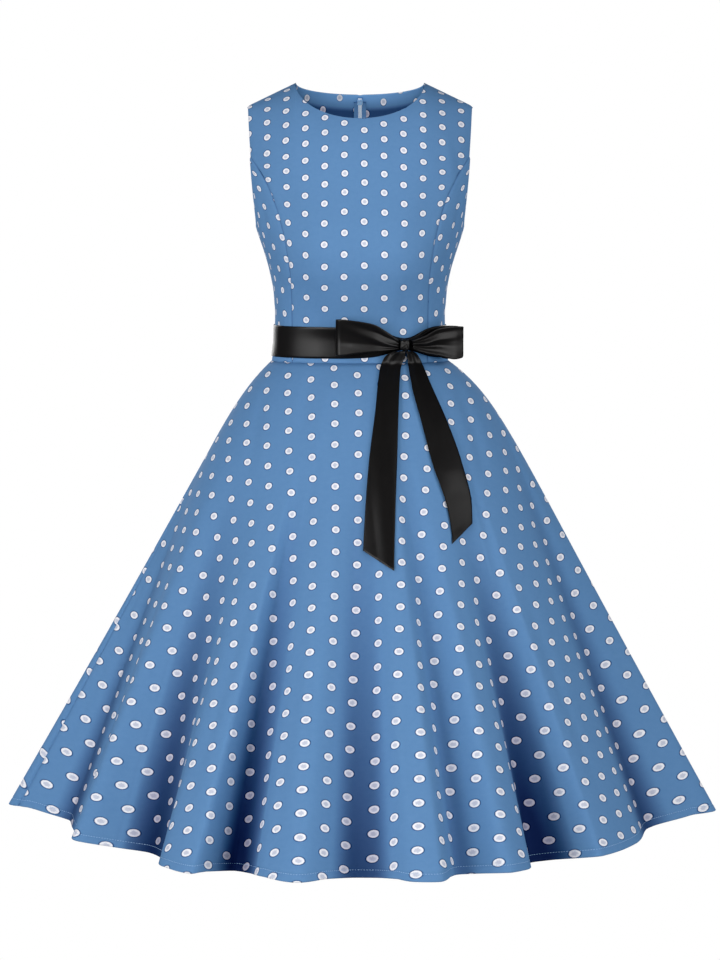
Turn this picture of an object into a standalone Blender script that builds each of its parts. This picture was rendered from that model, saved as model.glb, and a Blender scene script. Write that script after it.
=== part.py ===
"""A sleeveless A-line dress, kept hollow in its worn shape.

The bodice has princess seams from the armholes, a round neck and a centre back zip.
The flared skirt hangs in deep soft folds, and a ribbon sash is tied in a bow over the waist.
Lengths are in metres, +Z is up, and the dress faces -Y. The origin is the middle of the
neck, level with the highest points of the shoulders, where the wearer's shoulders carry it.
"""

import math

import bmesh
import bpy
from mathutils import Matrix, Vector

COLLECTION = "a_line_dress"

# Walls and gaps
CLOTH = 0.0018
RIBBON = 0.0012
TAPE = 0.0010
SEAM_GAP = 0.0003
ZIP_GAP = 0.0016

# Levels, measured down from the shoulders
UNDERARM = -0.185
PRINCESS_TOP = -0.095
WAIST = -0.357
HEM = -0.940

# Neck and shoulders
NECK_HALF_WIDTH = 0.0825
FRONT_NECK_DROP = 0.048
BACK_NECK_DROP = 0.013
SHOULDER_TIP = 0.145
SHOULDER_SLOPE = 0.030 / (SHOULDER_TIP - NECK_HALF_WIDTH)
FRONT_SHOULDER_ROUND = 0.115
BACK_SHOULDER_ROUND = 0.085

# Fullness over the bust, one soft mound on each side
BUST_OUT = 0.072
BUST_LEVEL = -0.224
BUST_FULLNESS = 0.011
BUST_SPREAD = 0.036
BUST_TALLNESS = 0.7

# Body rings are rounder than a box and squarer than an ellipse
ROUNDNESS = 2.3

# Skirt
HEM_HALF_WIDTH = 0.433
HEM_DEPTH = 0.424
SKIRT_SPRING = 0.075
SKIRT_SPRING_LEFT = 0.045
SKIRT_SPRING_REACH = 0.075
FOLD_GROWTH = 1.25
HEM_DIP = 0.16

# Sash and bow
SASH_LEVEL = -0.331
SASH_HALF_WIDTH = 0.020
SASH_STAND_OFF = 0.0007
KNOT_CENTRE = Vector((0.0565, -0.0891, -0.3335))
KNOT_SIZE = Vector((0.0150, 0.0110, 0.0160))
KNOT_ROUND = 0.0040
GATHER_REACH = 0.28
GATHER_DROP = 0.002
GATHER_SHARE = 0.62

# Zip
ZIP_END_ROW = 5
TAPE_HALF_WIDTH = 0.008
TAPE_STAND_OFF = 0.0005
COIL_HALF_WIDTH = 0.0025
COIL_HEIGHT = 0.0014
SLIDER_BELOW_NECK = 0.0050
SLIDER_SIZE = Vector((0.0070, 0.0030, 0.0085))
SLIDER_STAND_OFF = 0.0008
LUG_HALF_LENGTH = 0.0030
LUG_THICKNESS = 0.0010
LUG_HEIGHT = 0.0038
LUG_EYE_RADIUS = 0.0011
LUG_EYE_DEPTH = 0.0100
TAB_AXIS_HEIGHT = 0.0019
TAB_HALF_WIDTH = 0.0026
TAB_THICKNESS = 0.0010
TAB_BAR_HALF = 0.0006
TAB_EYE_HALF_WIDTH = 0.0013
TAB_EYE_END = 0.0040
TAB_LENGTH = 0.0170
TAB_CLEARANCE = 0.0006

# Grid sizes
NECK_COLUMNS = 7
SHOULDER_COLUMNS = 5
FRONT_ROWS_ABOVE = 6
BACK_ROWS_ABOVE = 7
ROWS_BELOW = 12
SIDE_COLUMNS = 5
SKIRT_COLUMNS = 176
SKIRT_SHARES = (0.0, 0.02, 0.06, 0.13, 0.22, 0.32, 0.43, 0.54, 0.65, 0.76, 0.86, 0.94, 1.0)
SASH_COLUMNS = 64
SHOULDER_CROWDING = 1.6
WAIST_CROWDING = 1.25
NORMAL_STEP = 0.0004
SKIRT_NORMAL_TURN = 0.002
SKIRT_NORMAL_DROP = 0.001

FRONT = -1
BACK = 1


class Table:
    """Rows of sizes with named columns, read smoothly between the rows by the first column."""

    def __init__(self, names, rows):
        self.columns = dict(zip(names.split(), zip(*rows)))
        self.keys = self.columns[names.split()[0]]

    def read(self, name, key):
        keys = self.keys
        values = self.columns[name]
        if keys[0] > keys[-1]:
            keys = keys[::-1]
            values = values[::-1]
        if key <= keys[0]:
            return values[0]
        if key >= keys[-1]:
            return values[-1]
        index = max(i for i in range(len(keys) - 1) if keys[i] <= key)
        return between(keys, values, index, key)


def between(keys, values, index, key):
    """Cubic through a table's rows that never overshoots a row."""
    steps = [keys[i + 1] - keys[i] for i in range(len(keys) - 1)]
    slopes = [(values[i + 1] - values[i]) / steps[i] for i in range(len(steps))]

    def tangent(i):
        if i == 0:
            return slopes[0]
        if i == len(keys) - 1:
            return slopes[-1]
        if slopes[i - 1] * slopes[i] <= 0:
            return 0.0
        return 2 * slopes[i - 1] * slopes[i] / (slopes[i - 1] + slopes[i])

    step = steps[index]
    t = (key - keys[index]) / step
    start = values[index] + tangent(index) * step * t * (1 - t) ** 2
    return start + (values[index + 1] - values[index]) * t * t * (3 - 2 * t) \
        + tangent(index + 1) * step * t * t * (t - 1)


BODY = Table("level half_width front_depth back_depth", (
    (0.000, 0.1500, 0.098, 0.096),
    (-0.050, 0.1492, 0.101, 0.101),
    (-0.100, 0.1470, 0.106, 0.105),
    (-0.150, 0.1415, 0.115, 0.109),
    (-0.185, 0.1338, 0.123, 0.109),
    (-0.215, 0.1240, 0.125, 0.106),
    (-0.240, 0.1170, 0.121, 0.101),
    (-0.270, 0.1112, 0.109, 0.093),
    (-0.300, 0.1100, 0.096, 0.085),
    (-0.330, 0.1110, 0.088, 0.082),
    (-0.357, 0.1140, 0.087, 0.084),
))

ARMHOLE = Table("level edge", (
    (-0.030, 0.1450),
    (-0.060, 0.1434),
    (-0.095, 0.1410),
    (-0.130, 0.1382),
    (-0.160, 0.1352),
    (-0.175, 0.1338),
    (-0.181, 0.1333),
    (-0.185, 0.1338),
))

PRINCESS_SEAM = Table("level out", (
    (-0.095, 0.1410),
    (-0.110, 0.1310),
    (-0.138, 0.1150),
    (-0.172, 0.1025),
    (-0.212, 0.0935),
    (-0.258, 0.0880),
    (-0.310, 0.0870),
    (-0.357, 0.0870),
))

# One row a fold, in order round the hem. A turn of 0 is the centre front and 90 the wearer's
# left side. The cloth stands out to its crest, breaks over its edge, falls in to its trough and
# lies there until the next fold rises. Start is the share of the drop that hangs smooth above it.
FOLDS = (
    # crest turn, radius, edge turn, radius, trough turn, radius, rise turn, radius, start
    (-92.0, 0.461, -87.5, 0.416, -82.0, 0.377, -70.0, 0.382, 0.20),
    (-62.5, 0.402, -56.3, 0.364, -51.0, 0.336, -43.5, 0.352, 0.20),
    (-33.5, 0.424, -26.6, 0.441, -23.5, 0.372, -20.0, 0.386, 0.20),
    (-15.4, 0.425, -9.6, 0.446, -0.5, 0.392, 2.5, 0.395, 0.12),
    (8.0, 0.440, 12.0, 0.446, 17.6, 0.393, 20.0, 0.400, 0.10),
    (24.5, 0.427, 28.6, 0.414, 37.5, 0.345, 41.0, 0.356, 0.22),
    (46.0, 0.408, 59.0, 0.398, 74.0, 0.379, 77.0, 0.386, 0.05),
    (82.0, 0.425, 87.0, 0.4625, 98.0, 0.392, 101.5, 0.394, 0.14),
    (108.0, 0.436, 114.0, 0.447, 122.5, 0.368, 125.5, 0.370, 0.22),
    (130.0, 0.428, 137.0, 0.444, 146.0, 0.364, 148.5, 0.368, 0.30),
    (153.0, 0.432, 159.0, 0.442, 167.0, 0.370, 170.0, 0.374, 0.16),
    (176.0, 0.438, 182.0, 0.444, 189.0, 0.366, 192.0, 0.368, 0.34),
    (197.0, 0.428, 203.0, 0.442, 211.0, 0.362, 213.5, 0.366, 0.24),
    (218.5, 0.430, 225.5, 0.438, 232.5, 0.360, 235.5, 0.364, 0.30),
    (240.5, 0.434, 247.0, 0.441, 254.5, 0.376, 257.0, 0.380, 0.18),
)

HEM_PLAN = Table("turn radius start", [
    (fold[place] + lap * 360, fold[place + 1], fold[8])
    for lap in (-1, 0, 1)
    for fold in FOLDS
    for place in (0, 2, 4, 6)
])

# Each loop runs straight out from the knot; its ribbon stands on edge between low and high
RIGHT_LOOP_END = Vector((-0.0300, -0.1010, 0.0))
RIGHT_LOOP = Table("share low high half_depth bulge", (
    (0.00, -0.3385, -0.3280, 0.0026, 0.0000),
    (0.20, -0.3400, -0.3165, 0.0040, 0.0035),
    (0.42, -0.3415, -0.3070, 0.0052, 0.0055),
    (0.75, -0.3445, -0.3025, 0.0062, 0.0040),
    (0.94, -0.3465, -0.3010, 0.0056, 0.0010),
    (1.00, -0.3465, -0.3010, 0.0034, 0.0000),
))

LEFT_LOOP_END = Vector((0.1300, -0.0560, 0.0))
LEFT_LOOP = Table("share low high half_depth bulge", (
    (0.00, -0.3385, -0.3280, 0.0026, 0.0000),
    (0.22, -0.3440, -0.3215, 0.0050, 0.0025),
    (0.48, -0.3480, -0.3125, 0.0074, 0.0025),
    (0.78, -0.3525, -0.3105, 0.0086, 0.0010),
    (0.94, -0.3510, -0.3110, 0.0074, 0.0000),
    (1.00, -0.3465, -0.3120, 0.0040, 0.0000),
))

RIGHT_TAIL = Table("level near far proud", (
    (-0.3418, 0.0365, 0.0583, 0.0085),
    (-0.3520, 0.0295, 0.0558, 0.0060),
    (-0.3640, 0.0250, 0.0512, 0.0046),
    (-0.4150, 0.0190, 0.0480, 0.0040),
    (-0.4750, 0.0110, 0.0460, 0.0036),
    (-0.5300, 0.0065, 0.0435, 0.0034),
    (-0.5900, 0.0030, 0.0415, 0.0034),
))
RIGHT_TAIL_SLANT = 0.022

LEFT_TAIL = Table("level near far proud", (
    (-0.3418, 0.0590, 0.0712, 0.0085),
    (-0.3520, 0.0602, 0.0762, 0.0060),
    (-0.3850, 0.0655, 0.0905, 0.0046),
    (-0.4280, 0.0770, 0.1095, 0.0040),
    (-0.4770, 0.0900, 0.1270, 0.0036),
    (-0.5300, 0.1080, 0.1390, 0.0034),
    (-0.5620, 0.1135, 0.1395, 0.0034),
))
LEFT_TAIL_SLANT = -0.022
TAIL_ROWS = 13
TAIL_COLUMNS = 4


def material(name, colour, roughness, metallic=0.0):
    made = bpy.data.materials.new(name)
    made.use_nodes = True
    shader = made.node_tree.nodes["Principled BSDF"]
    shader.inputs["Base Color"].default_value = (*colour, 1.0)
    shader.inputs["Roughness"].default_value = roughness
    shader.inputs["Metallic"].default_value = metallic
    return made


def link(made, collection, finish):
    made.data.materials.append(finish)
    collection.objects.link(made)
    return made


def wall(name, outer, normals, thickness, wrap=False):
    """Closed cloth wall: a grid of outer points, and the same grid moved in along the normals."""
    rows = len(outer)
    columns = len(outer[0])
    mesh = bmesh.new()
    skins = []
    for depth in (0.0, thickness):
        skins.append([[mesh.verts.new(point - normal * depth) for point, normal in zip(*pair)]
                      for pair in zip(outer, normals)])
    last = columns if wrap else columns - 1
    for row in range(rows - 1):
        for column in range(last):
            beside = (column + 1) % columns
            for skin in skins:
                corners = (skin[row][column], skin[row][beside],
                           skin[row + 1][beside], skin[row + 1][column])
                mesh.faces.new(corners)
    for row in (0, rows - 1):
        for column in range(last):
            beside = (column + 1) % columns
            mesh.faces.new((skins[0][row][column], skins[0][row][beside],
                            skins[1][row][beside], skins[1][row][column]))
    for column in () if wrap else (0, columns - 1):
        for row in range(rows - 1):
            mesh.faces.new((skins[0][row][column], skins[0][row + 1][column],
                            skins[1][row + 1][column], skins[1][row][column]))
    bmesh.ops.recalc_face_normals(mesh, faces=mesh.faces)
    data = bpy.data.meshes.new(name)
    mesh.to_mesh(data)
    mesh.free()
    data.shade_smooth()
    data.set_sharp_from_angle(angle=math.radians(50))
    return bpy.data.objects.new(name, data)


def grid_normals(grid, wrap=False):
    """Normals of a free grid, facing away from the dress where rows run down and columns to +X."""
    rows = len(grid)
    columns = len(grid[0])
    normals = []
    for row in range(rows):
        line = []
        for column in range(columns):
            left = column - 1 if wrap else max(column - 1, 0)
            right = (column + 1) % columns if wrap else min(column + 1, columns - 1)
            across = grid[row][right] - grid[row][left]
            down = grid[min(row + 1, rows - 1)][column] - grid[max(row - 1, 0)][column]
            line.append(down.cross(across).normalized())
        normals.append(line)
    return normals


def draw_in(outer, column, distances):
    """Moves an edge column towards its neighbour, so that two panels part at their seam."""
    beside = column + 1 if column == 0 else column - 1
    for line, distance in zip(outer, distances):
        line[column] = line[column] + (line[beside] - line[column]).normalized() * distance


def draw_in_top(outer, distance):
    outer[0] = [point + (below - point).normalized() * distance
                for point, below in zip(outer[0], outer[1])]


# Bodice

def shoulder_level(out):
    return -SHOULDER_SLOPE * max(abs(out) - NECK_HALF_WIDTH, 0.0)


def top_level(out, face):
    """Level of the neckline or of the shoulder seam, at a distance out from the centre."""
    if abs(out) >= NECK_HALF_WIDTH:
        return shoulder_level(out)
    curve = math.sqrt(1 - (out / NECK_HALF_WIDTH) ** 2)
    return -(FRONT_NECK_DROP if face == FRONT else BACK_NECK_DROP) * curve


def shoulder_round(drop, face):
    """Share of the full depth at a drop below the shoulder seam."""
    reach = FRONT_SHOULDER_ROUND if face == FRONT else BACK_SHOULDER_ROUND
    share = min(max(drop / reach, 0.0), 1.0)
    return math.sqrt(1 - (1 - share) ** 2)


def bust(out, level):
    aside = (abs(out) - BUST_OUT) / BUST_SPREAD
    below = (level - BUST_LEVEL) / BUST_SPREAD
    return BUST_FULLNESS * math.exp(-(aside ** 2 + BUST_TALLNESS * below ** 2) / 2)


def body_point(angle, level, face):
    """Point on the bodice's outer face: angle 0 is the centre and a quarter turn the side."""
    sine = math.sin(angle)
    cosine = max(math.cos(angle), 0.0)
    out = math.copysign(abs(sine) ** (2 / ROUNDNESS), sine) * BODY.read("half_width", level)
    depth = BODY.read("front_depth" if face == FRONT else "back_depth", level)
    depth *= cosine ** (2 / ROUNDNESS)
    if face == FRONT:
        depth += bust(out, level) * cosine
    depth *= shoulder_round(shoulder_level(out) - level, face)
    return Vector((out, face * depth, level))


def body_normal(angle, level, face):
    step = NORMAL_STEP
    point = body_point(angle, level, face)
    if shoulder_level(point.x) - level < step:
        return Vector((0.0, 0.0, 1.0))
    above = body_point(angle, level + step, face)
    below = body_point(angle, level - step, face)
    if abs(angle) > math.pi / 2 - step:
        taper = (abs(above.x) - abs(below.x)) / (above.z - below.z)
        return Vector((math.copysign(1.0, angle), 0.0, -taper)).normalized()
    turn = body_point(angle + step, level, face) - body_point(angle - step, level, face)
    return (turn.cross(below - above) * face).normalized()


def body_angle(out, level):
    share = min(abs(out) / BODY.read("half_width", level), 1.0)
    return math.copysign(math.asin(share ** (ROUNDNESS / 2)), out)


def armhole_angle(level):
    if level <= UNDERARM:
        return math.pi / 2
    return body_angle(ARMHOLE.read("edge", level), level)


def princess_angle(level):
    return body_angle(PRINCESS_SEAM.read("out", level), level)


def front_edge_angle(level):
    return princess_angle(level) if level < PRINCESS_TOP else armhole_angle(level)


def levels_to_waist(split):
    """Levels from a split down to the waist, closer together where the bodice hollows in."""
    return [WAIST + (split - WAIST) * (1 - row / ROWS_BELOW) ** WAIST_CROWDING
            for row in range(ROWS_BELOW + 1)]


def levels_down(top, split, rows_above):
    """Levels of one column: close together under the shoulder, then the shared ones to the waist."""
    upper = [top + (split - top) * (row / rows_above) ** SHOULDER_CROWDING
             for row in range(rows_above)]
    return upper + levels_to_waist(split)


def top_outs():
    """Distances out from the centre at which columns meet the neckline and the shoulder."""
    neck = [NECK_HALF_WIDTH * math.sin(math.pi / 2 * k / NECK_COLUMNS) for k in range(NECK_COLUMNS)]
    width = SHOULDER_TIP - NECK_HALF_WIDTH
    return neck + [NECK_HALF_WIDTH + width * k / SHOULDER_COLUMNS for k in range(SHOULDER_COLUMNS + 1)]


def body_grid(columns, face):
    """Outer points and normals, row by row, of columns of (angle, level) pairs."""
    lines = list(zip(*columns))
    outer = [[body_point(angle, level, face) for angle, level in line] for line in lines]
    normals = [[body_normal(angle, level, face) for angle, level in line] for line in lines]
    return outer, normals


def front_panel():
    """Centre front, cut in one piece between the two princess seams."""
    outs = top_outs()
    outs = [-out for out in reversed(outs[1:])] + outs
    columns = []
    for out in outs:
        top = top_level(out, FRONT)
        share = body_angle(out, top) / front_edge_angle(top)
        columns.append([(share * front_edge_angle(level), level)
                        for level in levels_down(top, PRINCESS_TOP, FRONT_ROWS_ABOVE)])
    outer, normals = body_grid(columns, FRONT)
    gaps = [SEAM_GAP / 2] * len(outer)
    draw_in(outer, 0, gaps)
    draw_in(outer, len(outs) - 1, gaps)
    draw_in_top(outer, SEAM_GAP / 2)
    return wall("bodice_front", outer, normals, CLOTH)


def side_columns():
    """Columns of a side front, from its princess seam to its side seam."""
    columns = []
    for k in range(SIDE_COLUMNS + 1):
        share = k / SIDE_COLUMNS

        def angle(level):
            inner = princess_angle(level)
            return inner + share * (math.pi / 2 - inner)

        high = PRINCESS_TOP
        low = UNDERARM
        for _ in range(40):
            middle = (high + low) / 2
            if angle(middle) > armhole_angle(middle):
                high = middle
            else:
                low = middle
        top = PRINCESS_TOP if k == 0 else (high + low) / 2
        columns.append([(angle(level), level) for level in levels_to_waist(top)])
    return columns


def side_panel(name, side):
    columns = side_columns()
    if side < 0:
        columns = [[(-angle, level) for angle, level in column] for column in reversed(columns)]
    outer, normals = body_grid(columns, FRONT)
    gaps = [SEAM_GAP / 2] * len(outer)
    draw_in(outer, 0, gaps)
    draw_in(outer, SIDE_COLUMNS, gaps)
    return wall(name, outer, normals, CLOTH)


def back_panel(name, side):
    """One half of the back, from the zip to the side seam."""
    columns = []
    for out in top_outs():
        top = top_level(out, BACK)
        share = body_angle(out, top) / armhole_angle(top)
        columns.append([(side * share * armhole_angle(level), level)
                        for level in levels_down(top, UNDERARM, BACK_ROWS_ABOVE)])
    if side < 0:
        columns.reverse()
    outer, normals = body_grid(columns, BACK)
    centre = 0 if side > 0 else len(columns) - 1
    draw_in(outer, centre, [ZIP_GAP / 2] * len(outer))
    draw_in(outer, len(columns) - 1 - centre, [SEAM_GAP / 2] * len(outer))
    draw_in_top(outer, SEAM_GAP / 2)
    return wall(name, outer, normals, CLOTH)


# Skirt

def ring_radius(azimuth, half_width, depth, roundness):
    across = (abs(math.sin(azimuth)) / half_width) ** roundness
    along = (abs(math.cos(azimuth)) / depth) ** roundness
    return (across + along) ** (-1 / roundness)


def skirt_level(share):
    return WAIST - SEAM_GAP + (HEM - WAIST + SEAM_GAP) * share


def skirt_fold(azimuth, share):
    """How far the cloth stands out from the plain flare, or lies in from it, in its folds."""
    turn = math.degrees(azimuth)
    start = HEM_PLAN.read("start", turn)
    grown = max((share - start) / (1 - start), 0.0) ** FOLD_GROWTH
    return (HEM_PLAN.read("radius", turn) - ring_radius(azimuth, HEM_HALF_WIDTH, HEM_DEPTH, 2)) * grown


def skirt_point(azimuth, share):
    """Point on the skirt's outer face, at a share of the drop from the waist to the hem."""
    depth = BODY.read("front_depth" if math.cos(azimuth) > 0 else "back_depth", WAIST)
    waist = ring_radius(azimuth, BODY.read("half_width", WAIST), depth, ROUNDNESS)
    hem = ring_radius(azimuth, HEM_HALF_WIDTH, HEM_DEPTH, 2)
    spring = SKIRT_SPRING + SKIRT_SPRING_LEFT * max(math.sin(azimuth), 0.0) ** 2
    spring *= (1 - share) * (1 - math.exp(-share / SKIRT_SPRING_REACH))
    fold = skirt_fold(azimuth, share)
    radius = waist + (hem - waist) * (share + spring) + fold
    level = skirt_level(share) - HEM_DIP * max(-fold, 0.0)
    return Vector((radius * math.sin(azimuth), -radius * math.cos(azimuth), level))


def skirt_normal(azimuth, share):
    turn = SKIRT_NORMAL_TURN
    drop = SKIRT_NORMAL_DROP
    across = skirt_point(azimuth + turn, share) - skirt_point(azimuth - turn, share)
    down = skirt_point(azimuth, share + drop) - skirt_point(azimuth, max(share - drop, 0.0))
    return down.cross(across).normalized()


def skirt_panel(name, first, last):
    """Skirt wall between two turns in degrees, each a side seam or the centre back."""
    count = round(SKIRT_COLUMNS * (last - first) / 360)
    azimuths = [math.radians(first + (last - first) * k / count) for k in range(count + 1)]
    outer = [[skirt_point(azimuth, share) for azimuth in azimuths] for share in SKIRT_SHARES]
    normals = [[skirt_normal(azimuth, share) for azimuth in azimuths] for share in SKIRT_SHARES]
    for column, turn in ((0, first), (count, last)):
        zipped = ZIP_END_ROW if abs(turn) == 180 else -1
        draw_in(outer, column, [ZIP_GAP / 2 if row <= zipped else SEAM_GAP / 2
                                for row in range(len(outer))])
    return wall(name, outer, normals, CLOTH)


def front_depth(out, level):
    """How far forward the front of the dress reaches, straight ahead of a distance out."""
    if level > WAIST:
        return -body_point(body_angle(out, level), level, FRONT).y
    share = (skirt_level(0) - level) / (skirt_level(0) - skirt_level(1))
    azimuth = 0.0
    for _ in range(12):
        azimuth = math.atan2(out, -skirt_point(azimuth, share).y)
        reach = math.hypot(*skirt_point(azimuth, share).xy)
        azimuth = math.asin(out / reach)
    return -skirt_point(azimuth, share).y


# Sash and bow

def sash_band():
    """Ribbon round the waist, over the bodice, gathered narrow where the knot ties it."""
    knot_angle = body_angle(KNOT_CENTRE.x, SASH_LEVEL)
    outer = []
    normals = []
    for share in (1.0, 0.4, -0.4, -1.0):
        line = []
        normal_line = []
        for column in range(SASH_COLUMNS):
            turn = 2 * math.pi * column / SASH_COLUMNS - math.pi / 2
            face = FRONT if turn < math.pi / 2 else BACK
            angle = turn if face == FRONT else math.pi - turn
            near_knot = math.exp(-((angle - knot_angle) / GATHER_REACH) ** 2) if face == FRONT else 0.0
            level = SASH_LEVEL - GATHER_DROP * near_knot
            level += share * SASH_HALF_WIDTH * (1 - GATHER_SHARE * near_knot)
            normal = body_normal(angle, level, face)
            line.append(body_point(angle, level, face) + normal * (SASH_STAND_OFF + RIBBON))
            normal_line.append(normal)
        outer.append(line)
        normals.append(normal_line)
    return wall("sash_band", outer, normals, RIBBON, wrap=True)


def body_front(level):
    return BODY.read("front_depth", level) + bust(BUST_OUT / 2, level)


def bow_loop(name, side, end, table):
    """Closed loop of ribbon on edge: out along the front, round the end and back."""
    slant = abs((end.y - KNOT_CENTRE.y) / (end.x - KNOT_CENTRE.x))
    beside = KNOT_SIZE.x / 2 + SEAM_GAP + slant * table.read("half_depth", 0.0)
    start = Vector((KNOT_CENTRE.x + side * beside, KNOT_CENTRE.y, 0.0))
    run = end - start
    ahead = Vector((run.y, -run.x, 0.0)).normalized()
    if ahead.y > 0:
        ahead = -ahead
    shares = (0.0, 0.1, 0.22, 0.36, 0.5, 0.64, 0.78, 0.9, 0.97, 1.0)
    path = [(share, 1) for share in shares] + [(share, -1) for share in reversed(shares)]
    if side < 0:
        path.reverse()
    grid = []
    for across in (1.0, 0.5, 0.0):
        line = []
        for share, layer in path:
            low = table.read("low", share)
            high = table.read("high", share)
            proud = layer * table.read("half_depth", share) + table.read("bulge", share)
            point = start + run * share + ahead * proud
            point.z = low + (high - low) * across
            point.y -= max(body_front(point.z) - body_front(SASH_LEVEL), 0.0)
            line.append(point)
        grid.append(line)
    flat = grid_normals(grid, wrap=True)
    normals = [[Vector((normal.x, normal.y, 0.0)).normalized() for normal in line] for line in flat]
    return wall(name, grid, normals, RIBBON, wrap=True)


def bow_knot():
    mesh = bmesh.new()
    bmesh.ops.create_cube(mesh, size=1.0)
    bmesh.ops.scale(mesh, vec=KNOT_SIZE, verts=mesh.verts)
    bmesh.ops.bevel(mesh, geom=mesh.edges[:], offset=KNOT_ROUND, segments=3, profile=0.5,
                    affect="EDGES")
    data = bpy.data.meshes.new("bow_knot")
    mesh.to_mesh(data)
    mesh.free()
    data.shade_smooth()
    made = bpy.data.objects.new("bow_knot", data)
    made.location = KNOT_CENTRE
    return made


def bow_tail(name, table, slant):
    """Loose ribbon end: from under the knot, over the band and down the skirt, cut on a slant."""
    top, bottom = table.keys[0], table.keys[-1]
    shares = [column / (TAIL_COLUMNS - 1) for column in range(TAIL_COLUMNS)]
    outer = []
    for row in range(TAIL_ROWS + 1):
        share = row / TAIL_ROWS
        places = []
        for across in shares:
            level = top + (bottom - top) * share - slant * (across - 0.5) * share ** 2
            near = table.read("near", level)
            places.append((near + (table.read("far", level) - near) * across, level))
        depths = [front_depth(out, level) for out, level in places]
        line = []
        for across, depth, (out, level) in zip(shares, depths, places):
            bridged = depths[0] + (depths[-1] - depths[0]) * across
            line.append(Vector((out, -max(depth, bridged) - table.read("proud", level), level)))
        outer.append(line)
    return wall(name, outer, grid_normals(outer), RIBBON)


# Zip

def zip_rows():
    """Outer points and normals down the centre back, from the neck to the end of the zip."""
    top = top_level(0.0, BACK)
    levels = levels_down(top, UNDERARM, BACK_ROWS_ABOVE)
    rows = [(body_point(0.0, level, BACK), body_normal(0.0, level, BACK)) for level in levels[1:-1]]
    waist = Vector((0.0, body_point(0.0, WAIST, BACK).y, WAIST))
    rows.append((waist, (rows[-1][1] + skirt_normal(math.pi, 0.0)).normalized()))
    for share in SKIRT_SHARES[2:ZIP_END_ROW + 1]:
        rows.append((skirt_point(math.pi, share), skirt_normal(math.pi, share)))
    return rows


def zip_strip(name, near, far, stand_off, thickness, skip=0):
    """Strip of the zip inside the back, made from the panels' own points moved in."""
    outer = []
    normals = []
    for point, normal in zip_rows()[skip:]:
        base = point - normal * stand_off
        outer.append([Vector((far, base.y, base.z)), Vector((near, base.y, base.z))])
        normals.append([normal, normal])
    return wall(name, outer, normals, thickness)


def slider_frame():
    """Middle of the slider on the back's outer face, with the way out and the way down."""
    level = top_level(0.0, BACK) - SLIDER_BELOW_NECK
    point = body_point(0.0, level, BACK)
    normal = body_normal(0.0, level, BACK)
    down = Vector((1.0, 0.0, 0.0)).cross(normal)
    if down.z > 0:
        down = -down
    return point, normal, down


def box(name, size):
    mesh = bmesh.new()
    bmesh.ops.create_cube(mesh, size=1.0)
    bmesh.ops.scale(mesh, vec=size, verts=mesh.verts)
    data = bpy.data.meshes.new(name)
    mesh.to_mesh(data)
    mesh.free()
    return bpy.data.objects.new(name, data)


def boolean(made, other, operation):
    cut = made.modifiers.new(operation.lower(), "BOOLEAN")
    cut.operation = operation
    cut.object = other
    other.hide_render = True
    other.display_type = "WIRE"


def zip_slider(cutters):
    """Slider body inside the back, and its thin lug through the slot with an eye for the tab."""
    point, normal, down = slider_frame()
    turn = Matrix((Vector((1.0, 0.0, 0.0)), normal, -down)).transposed().to_4x4()
    inside = CLOTH + TAPE_STAND_OFF + TAPE + SLIDER_STAND_OFF
    body = box("zip_slider", SLIDER_SIZE)
    body.matrix_world = Matrix.Translation(point - normal * (inside + SLIDER_SIZE.y / 2)) @ turn
    lug_depth = LUG_HEIGHT + inside + SLIDER_SIZE.y / 2
    lug = box("slider_lug", Vector((LUG_THICKNESS, lug_depth, 2 * LUG_HALF_LENGTH)))
    lug.matrix_world = Matrix.Translation(point + normal * (LUG_HEIGHT - lug_depth / 2)) @ turn
    bpy.ops.mesh.primitive_cylinder_add(vertices=16, radius=LUG_EYE_RADIUS, depth=LUG_EYE_DEPTH)
    eye = bpy.context.object
    eye.name = "slider_eye"
    sideways = Matrix.Rotation(math.pi / 2, 4, "Y")
    eye.matrix_world = Matrix.Translation(point + normal * TAB_AXIS_HEIGHT) @ sideways
    for cutter in (lug, eye):
        for holder in list(cutter.users_collection):
            holder.objects.unlink(cutter)
        cutters.objects.link(cutter)
    boolean(body, lug, "UNION")
    boolean(body, eye, "DIFFERENCE")
    return body


def tab_outline(curve, points):
    spline = curve.splines.new("POLY")
    spline.points.add(len(points) - 1)
    for place, (x, y) in zip(spline.points, points):
        place.co = (x, y, 0.0, 1.0)
    spline.use_cyclic_u = True


def zip_pull_tab():
    """Flat metal tab with an eye at its top; its bar turns in the slider's lug."""
    point, normal, down = slider_frame()
    axis = point + normal * TAB_AXIS_HEIGHT
    curve = bpy.data.curves.new("zip_pull_tab", "CURVE")
    curve.dimensions = "2D"
    curve.fill_mode = "BOTH"
    curve.extrude = TAB_THICKNESS / 2
    corner = TAB_HALF_WIDTH
    end = TAB_LENGTH - corner
    arc = [(corner * math.cos(turn), -end - corner * math.sin(turn))
           for turn in (math.pi * k / 10 for k in range(11))]
    tab_outline(curve, [(-corner, TAB_BAR_HALF), (corner, TAB_BAR_HALF)] + arc)
    eye = TAB_EYE_HALF_WIDTH
    tab_outline(curve, [(-eye, -TAB_BAR_HALF), (eye, -TAB_BAR_HALF),
                        (eye, -TAB_EYE_END), (-eye, -TAB_EYE_END)])
    made = bpy.data.objects.new("zip_pull_tab", curve)
    rest_level = axis.z + down.z * TAB_LENGTH
    cloth = body_point(0.0, rest_level, BACK)
    clear = TAB_THICKNESS / 2 + TAB_CLEARANCE
    aim = (cloth + body_normal(0.0, rest_level, BACK) * clear - axis).normalized()
    turn = Matrix((Vector((1.0, 0.0, 0.0)), -aim, Vector((1.0, 0.0, 0.0)).cross(-aim))).transposed()
    made.matrix_world = Matrix.Translation(axis) @ turn.to_4x4()
    return made


def new_collection(name):
    made = bpy.data.collections.new(name)
    bpy.context.scene.collection.children.link(made)
    return made


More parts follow.
